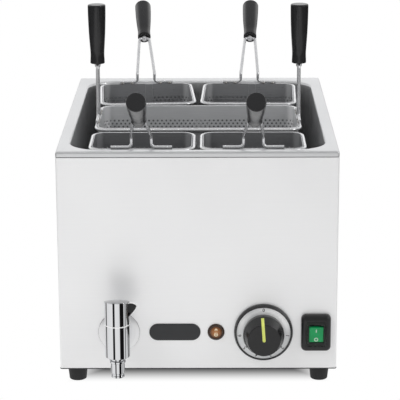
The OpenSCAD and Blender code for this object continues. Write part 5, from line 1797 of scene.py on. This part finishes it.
@dataclass
class PilotLamp:
    """Amber pilot lamp with a thermometer sign."""

    x: float = LAMP_X
    bezel_r: float = 10.4
    bezel_h: float = 2.6
    lens_r: float = 7.2
    rise: float = 4.0
    # Sign: half width of its line, its stem's radius and top, its bulb's radius, place and open arc
    line_w: float = 0.45
    stem_r: float = 1.15
    stem_y: float = 3.6
    bulb_r: float = 2.0
    bulb_y: float = -2.6
    bulb_deg: tuple[float, float] = (122.0, 418.0)
    dot_r: float = 0.45
    dot_w: float = 0.4
    ink_t: float = 0.15

    def dome(self, x: Array, y: Array) -> Array:
        """Height of the lens: a sphere of twice the lens's radius, cut off level."""
        ball = 2 * self.lens_r
        return self.rise - ball + np.sqrt(ball * ball - x * x - y * y)

    def ribbon(self, skin: Skin, seat: Seat, line: Array, half: float) -> None:
        """A closed printed line of even width that follows the dome.

        Args:
            skin: Gets the line.
            seat: Seat of the lamp.
            line: Points along its middle.
            half: Half its width.
        """
        ahead = np.roll(line, -1, axis=0) - np.roll(line, 1, axis=0)
        side = np.column_stack([ahead[:, 1], -ahead[:, 0]]) / np.linalg.norm(ahead, axis=1, keepdims=True)
        edges = [line - half * side, line + half * side]
        rows = [np.column_stack([e, self.dome(e[:, 0], e[:, 1]) + self.ink_t]) for e in edges]
        numbers = skin.add(seat.put(np.array(rows)))
        skin.strip(numbers[1], numbers[0])

    def build(self) -> None:
        """Builds the bezel, the lens and its sign: a stem's round end joined to a bulb, with a dot inside."""
        seat, sign = on_panel(self.x), Skin()
        a, b, h = self.lens_r + 0.1, self.bezel_r, self.bezel_h
        bezel = bent([(a, 0.0), (b, 0.0), (b, 1.2), (b - 1.2, h), (a, h), (a, 0.3)], (0, 0.4, 0.8, 0.5))
        spun("lamp_moulded_bezel", bezel, seat, BEZEL_BROWN, ["lamp_bezel"], segments=72,
             crease_deg=32.0)
        r = np.linspace(self.lens_r, 0.0, 24)
        lens = np.concatenate([[(0.0, 0.0), (self.lens_r, 0.0)], np.column_stack([r, self.dome(r, 0 * r)])])
        spun("lamp_domed_lens", lens, seat, LENS_AMBER, ["lamp_lens"], segments=72,
             crease_deg=40.0)

        def arc(t: Array, radius: float, y: float) -> Array:
            """Points on a circle about a place on the sign's upright."""
            return np.column_stack([radius * np.cos(t), y + radius * np.sin(t)])

        stem, bulb = np.linspace(0.0, math.pi, 10), np.radians(np.linspace(*self.bulb_deg, 26))
        outline = np.concatenate([arc(stem, self.stem_r, self.stem_y), arc(bulb, self.bulb_r, self.bulb_y)])
        self.ribbon(sign, seat, outline, self.line_w)
        dot = arc(np.linspace(0.0, TURN, 20, endpoint=False), self.dot_r, self.bulb_y)
        self.ribbon(sign, seat, dot, self.dot_w)
        piece("lamp_thermometer_sign", sign, LENS_CREAM, "cabinet")


@dataclass
class Switch:
    """Splash-proof rocker switch with its frame and clear cover."""

    x: float = SWITCH_X
    half_w: float = 18.2
    half_h: float = 23.25
    corner_r: float = 6.0
    rise: float = 9.0
    # Shoulder of the frame: its foot, its rise, how far it comes in, and how much its corners tighten
    shoulder_z: float = 3.0
    shoulder_h: float = 5.6
    shoulder_in: float = 3.6
    shoulder_tight: float = 1.2
    # Half width, half height and corner radius of the window for the rocker
    window: Point = (8.9, 11.1, 0.8)
    rocker_w: float = 17.2
    rocker_h: float = 20.4
    # Rocker: depth behind its axis, height of its middle and how far its ends rise past it
    rocker_deep: float = 4.0
    rocker_face: float = 4.0
    dish: float = 1.0
    # Distance from the rocker's end, and how far its outline is drawn in there
    soft_edge: Pairs = ((0.0, 0.7), (0.2, 0.25), (0.7, 0.0))
    axis_z: float = 5.5
    tilt_deg: float = 8.0
    # Signs: half sizes and place of the bar, radii and place of the ring, and height of the ink
    bar: tuple[float, float] = (0.55, 2.2)
    bar_y: float = 5.2
    ring: tuple[float, float] = (2.4, 1.6)
    ring_y: float = -6.4
    ink_t: float = 0.08
    cover_half_w: float = 12.5
    cover_half_h: float = 15.2
    cover_r: float = 4.0
    cover_t: float = 1.0
    cover_h: float = 6.0

    def frame(self) -> None:
        """The frame: loops from the panel over a soft shoulder to the window and back down."""
        w, h, r, top = self.half_w, self.half_h, self.corner_r, self.rise
        loops = [level(w, h, r, 0.0), level(w, h, r, 2.4)]
        for a, b in zip(*quarter_round(5)):
            inset = self.shoulder_in * (1 - b)
            loops.append(level(w - inset, h - inset, r - self.shoulder_tight * (1 - b),
                               self.shoulder_z + self.shoulder_h * a))
        loops += [level(w - 4.2, h - 4.2, 4.6, top), level(w - 5.0, h - 6.6, 4.0, top),
                  level(w - 5.4, h - 7.0, 3.6, top - 0.5), level(*self.window, top - 0.5),
                  level(*self.window, 0.0)]
        skin = Skin()
        stack(skin, loops, on_panel(self.x), wrap=True)
        piece("switch_moulded_frame", skin, FRAME_BLACK, "cabinet", ["switch_frame"],
              crease_deg=40.0)

    def rocker_seat(self) -> Seat:
        """Seat on the rocker's axis, tipped to its rest side.

        Returns:
            The seat.
        """
        tip = math.radians(self.tilt_deg)
        c, s = math.cos(tip), math.sin(tip)
        return Seat((self.x, FRONT_Y - self.axis_z, CONTROL_Z), ((1.0, 0.0, 0.0), (0.0, -s, c), (0.0, -c, -s)))

    def rocker(self) -> None:
        """The rocker: a dished side outline carried across its width, drawn in at both ends for a soft edge."""
        h, half = self.rocker_h / 2, self.rocker_w / 2
        back, mid, tip = -self.rocker_deep, self.rocker_face, self.rocker_face + self.dish
        outline = bent([(0.0, back), (h / 2, back), (h - 1.0, 0.0), (h, tip), (0.0, mid), (-h, tip),
                        (-h + 1.0, 0.0), (-h / 2, back), (0.0, back)], (0.5, 0.5, 0.8, 14.0, 0.8, 0.5, 0.5))[:-1]
        skin, seat = Skin(), self.rocker_seat()
        middle = outline.mean(axis=0)
        away = outline - middle
        ends = [(d - half, i) for d, i in self.soft_edge] + [(half - d, i) for d, i in self.soft_edge[::-1]]
        rows = []
        for x, inset in ends:
            drawn = middle + away * (1.0 - inset / np.linalg.norm(away, axis=1, keepdims=True))
            rows.append(np.column_stack([np.full(len(drawn), x), drawn]))
        numbers = skin.add(seat.put(np.array(rows)))
        skin.sheet(numbers)
        skin.fan(numbers[0], seat.put([-half, *middle]), top=False)
        skin.fan(numbers[-1], seat.put([half, *middle]))
        piece("switch_green_rocker", skin, ROCKER_GREEN, "rocker", ["switch_rocker"],
              crease_deg=35.0)

    def laid(self, flat: Array, up: float, slope: float) -> Array:
        """Lays a flat mark on the rocker's face at a distance up from its middle."""
        y = up + flat[:, 1] * math.cos(slope)
        rise = np.abs(y) * self.dish / (self.rocker_h / 2)
        return np.column_stack([flat[:, 0], y, self.rocker_face + rise + self.ink_t])

    def marks(self) -> None:
        """White on and off marks: a bar above, a ring below, each lying on the rocker's sloping face."""
        skin, seat = Skin(), self.rocker_seat()
        slope = math.atan2(self.dish, self.rocker_h / 2)
        t = np.linspace(0.0, TURN, 28, endpoint=False)
        bar = np.array([[-1, -1], [1, -1], [1, 1], [-1, 1]]) * self.bar
        numbers = skin.add(seat.put(self.laid(bar, self.bar_y, slope)))
        skin.face(*numbers[:, None])
        rings = [self.laid(r * np.column_stack([np.cos(t), np.sin(t)]), self.ring_y, -slope) for r in self.ring]
        numbers = skin.add(seat.put(np.array(rings)))
        skin.strip(numbers[0], numbers[1])
        piece("switch_rocker_marks", skin, MARK_WHITE, "rocker")

    def cover(self) -> None:
        """The clear cover: an outer and an inner tapered shell joined at their foot."""
        skin = Skin()

        def shell(inset: float) -> list[Layer]:
            """Loops of one shell, which is lower by as much as it is further in.

            Args:
                inset: Distance inside the cover.

            Returns:
                The loops from the foot up.
            """
            w, h, r = self.cover_half_w - inset, self.cover_half_h - inset, self.cover_r - inset
            low, top = self.rise, self.rise + self.cover_h - inset
            return [level(w, h, r, low), level(w, h, r, low + 0.8), level(w - 0.8, h - 0.8, r - 0.5, top - 0.8),
                    level(w - 1.3, h - 1.3, r - 0.7, top - 0.2), level(w - 2.0, h - 2.0, r - 1.2, top)]

        stack(skin, shell(self.cover_t)[::-1] + shell(0.0), on_panel(self.x), low=True, high=True)
        piece("switch_clear_cover", skin, COVER_CLEAR, "cabinet", ["switch_cover"], crease_deg=50.0)

    def build(self) -> None:
        """Builds the switch's pieces."""
        self.frame()
        self.rocker()
        self.marks()
        self.cover()


@dataclass
class Badge:
    """Bare badge plate with round ends and a soft edge."""

    x: float = BADGE_X
    half_w: float = 31.4
    half_h: float = 10.7
    # Distance inside the outline, and height of the plate's edge there
    edge: Pairs = ((0.0, 0.0), (0.0, 0.7), (0.15, 1.1), (0.45, 1.33), (0.9, 1.4))

    def build(self) -> None:
        """Builds the plate from loops drawn in over its edge."""
        w, h, r = self.half_w, self.half_h, self.half_h - 0.1
        skin = Skin()
        loops = [level(w - e, h - e, r - e, z) for e, z in self.edge]
        stack(skin, loops, on_panel(self.x), 6, 16, low=True, high=True)
        piece("bare_badge_plate", skin, BADGE_BLACK, "cabinet", ["badge_plate"], crease_deg=40.0)


def main() -> None:
    """Builds the studio and every sub-assembly in order."""
    logging.basicConfig(level=logging.INFO, format="%(name)s %(message)s")
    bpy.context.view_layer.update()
    baskets = [Basket(f"front_{side}", x, -155.0, width=130.0, depth=92.0, turn_deg=180.0)
               for side, x in (("left", -67.5), ("right", 67.5))]
    baskets += [Basket("middle", 0.0, -24.5, width=263.0, depth=139.0, handles=HandlePlace.ENDS,
                       steel=BASKET_STEEL)]
    baskets += [Basket(f"back_{side}", x, 123.5, width=130.0, depth=135.0, turn_deg=turn, lean_deg=63.0,
                       lean_run=80.0, steel=PICKLED_BASKET_STEEL)
                for side, x, turn in (("left", -71.5, 3.5), ("right", 68.0, -1.8))]
    for part in (Studio(), Cabinet(), *baskets, Tap(), Thermostat(), PilotLamp(), Switch(), Badge()):
        part.build()


if __name__ == "__main__":
    main()
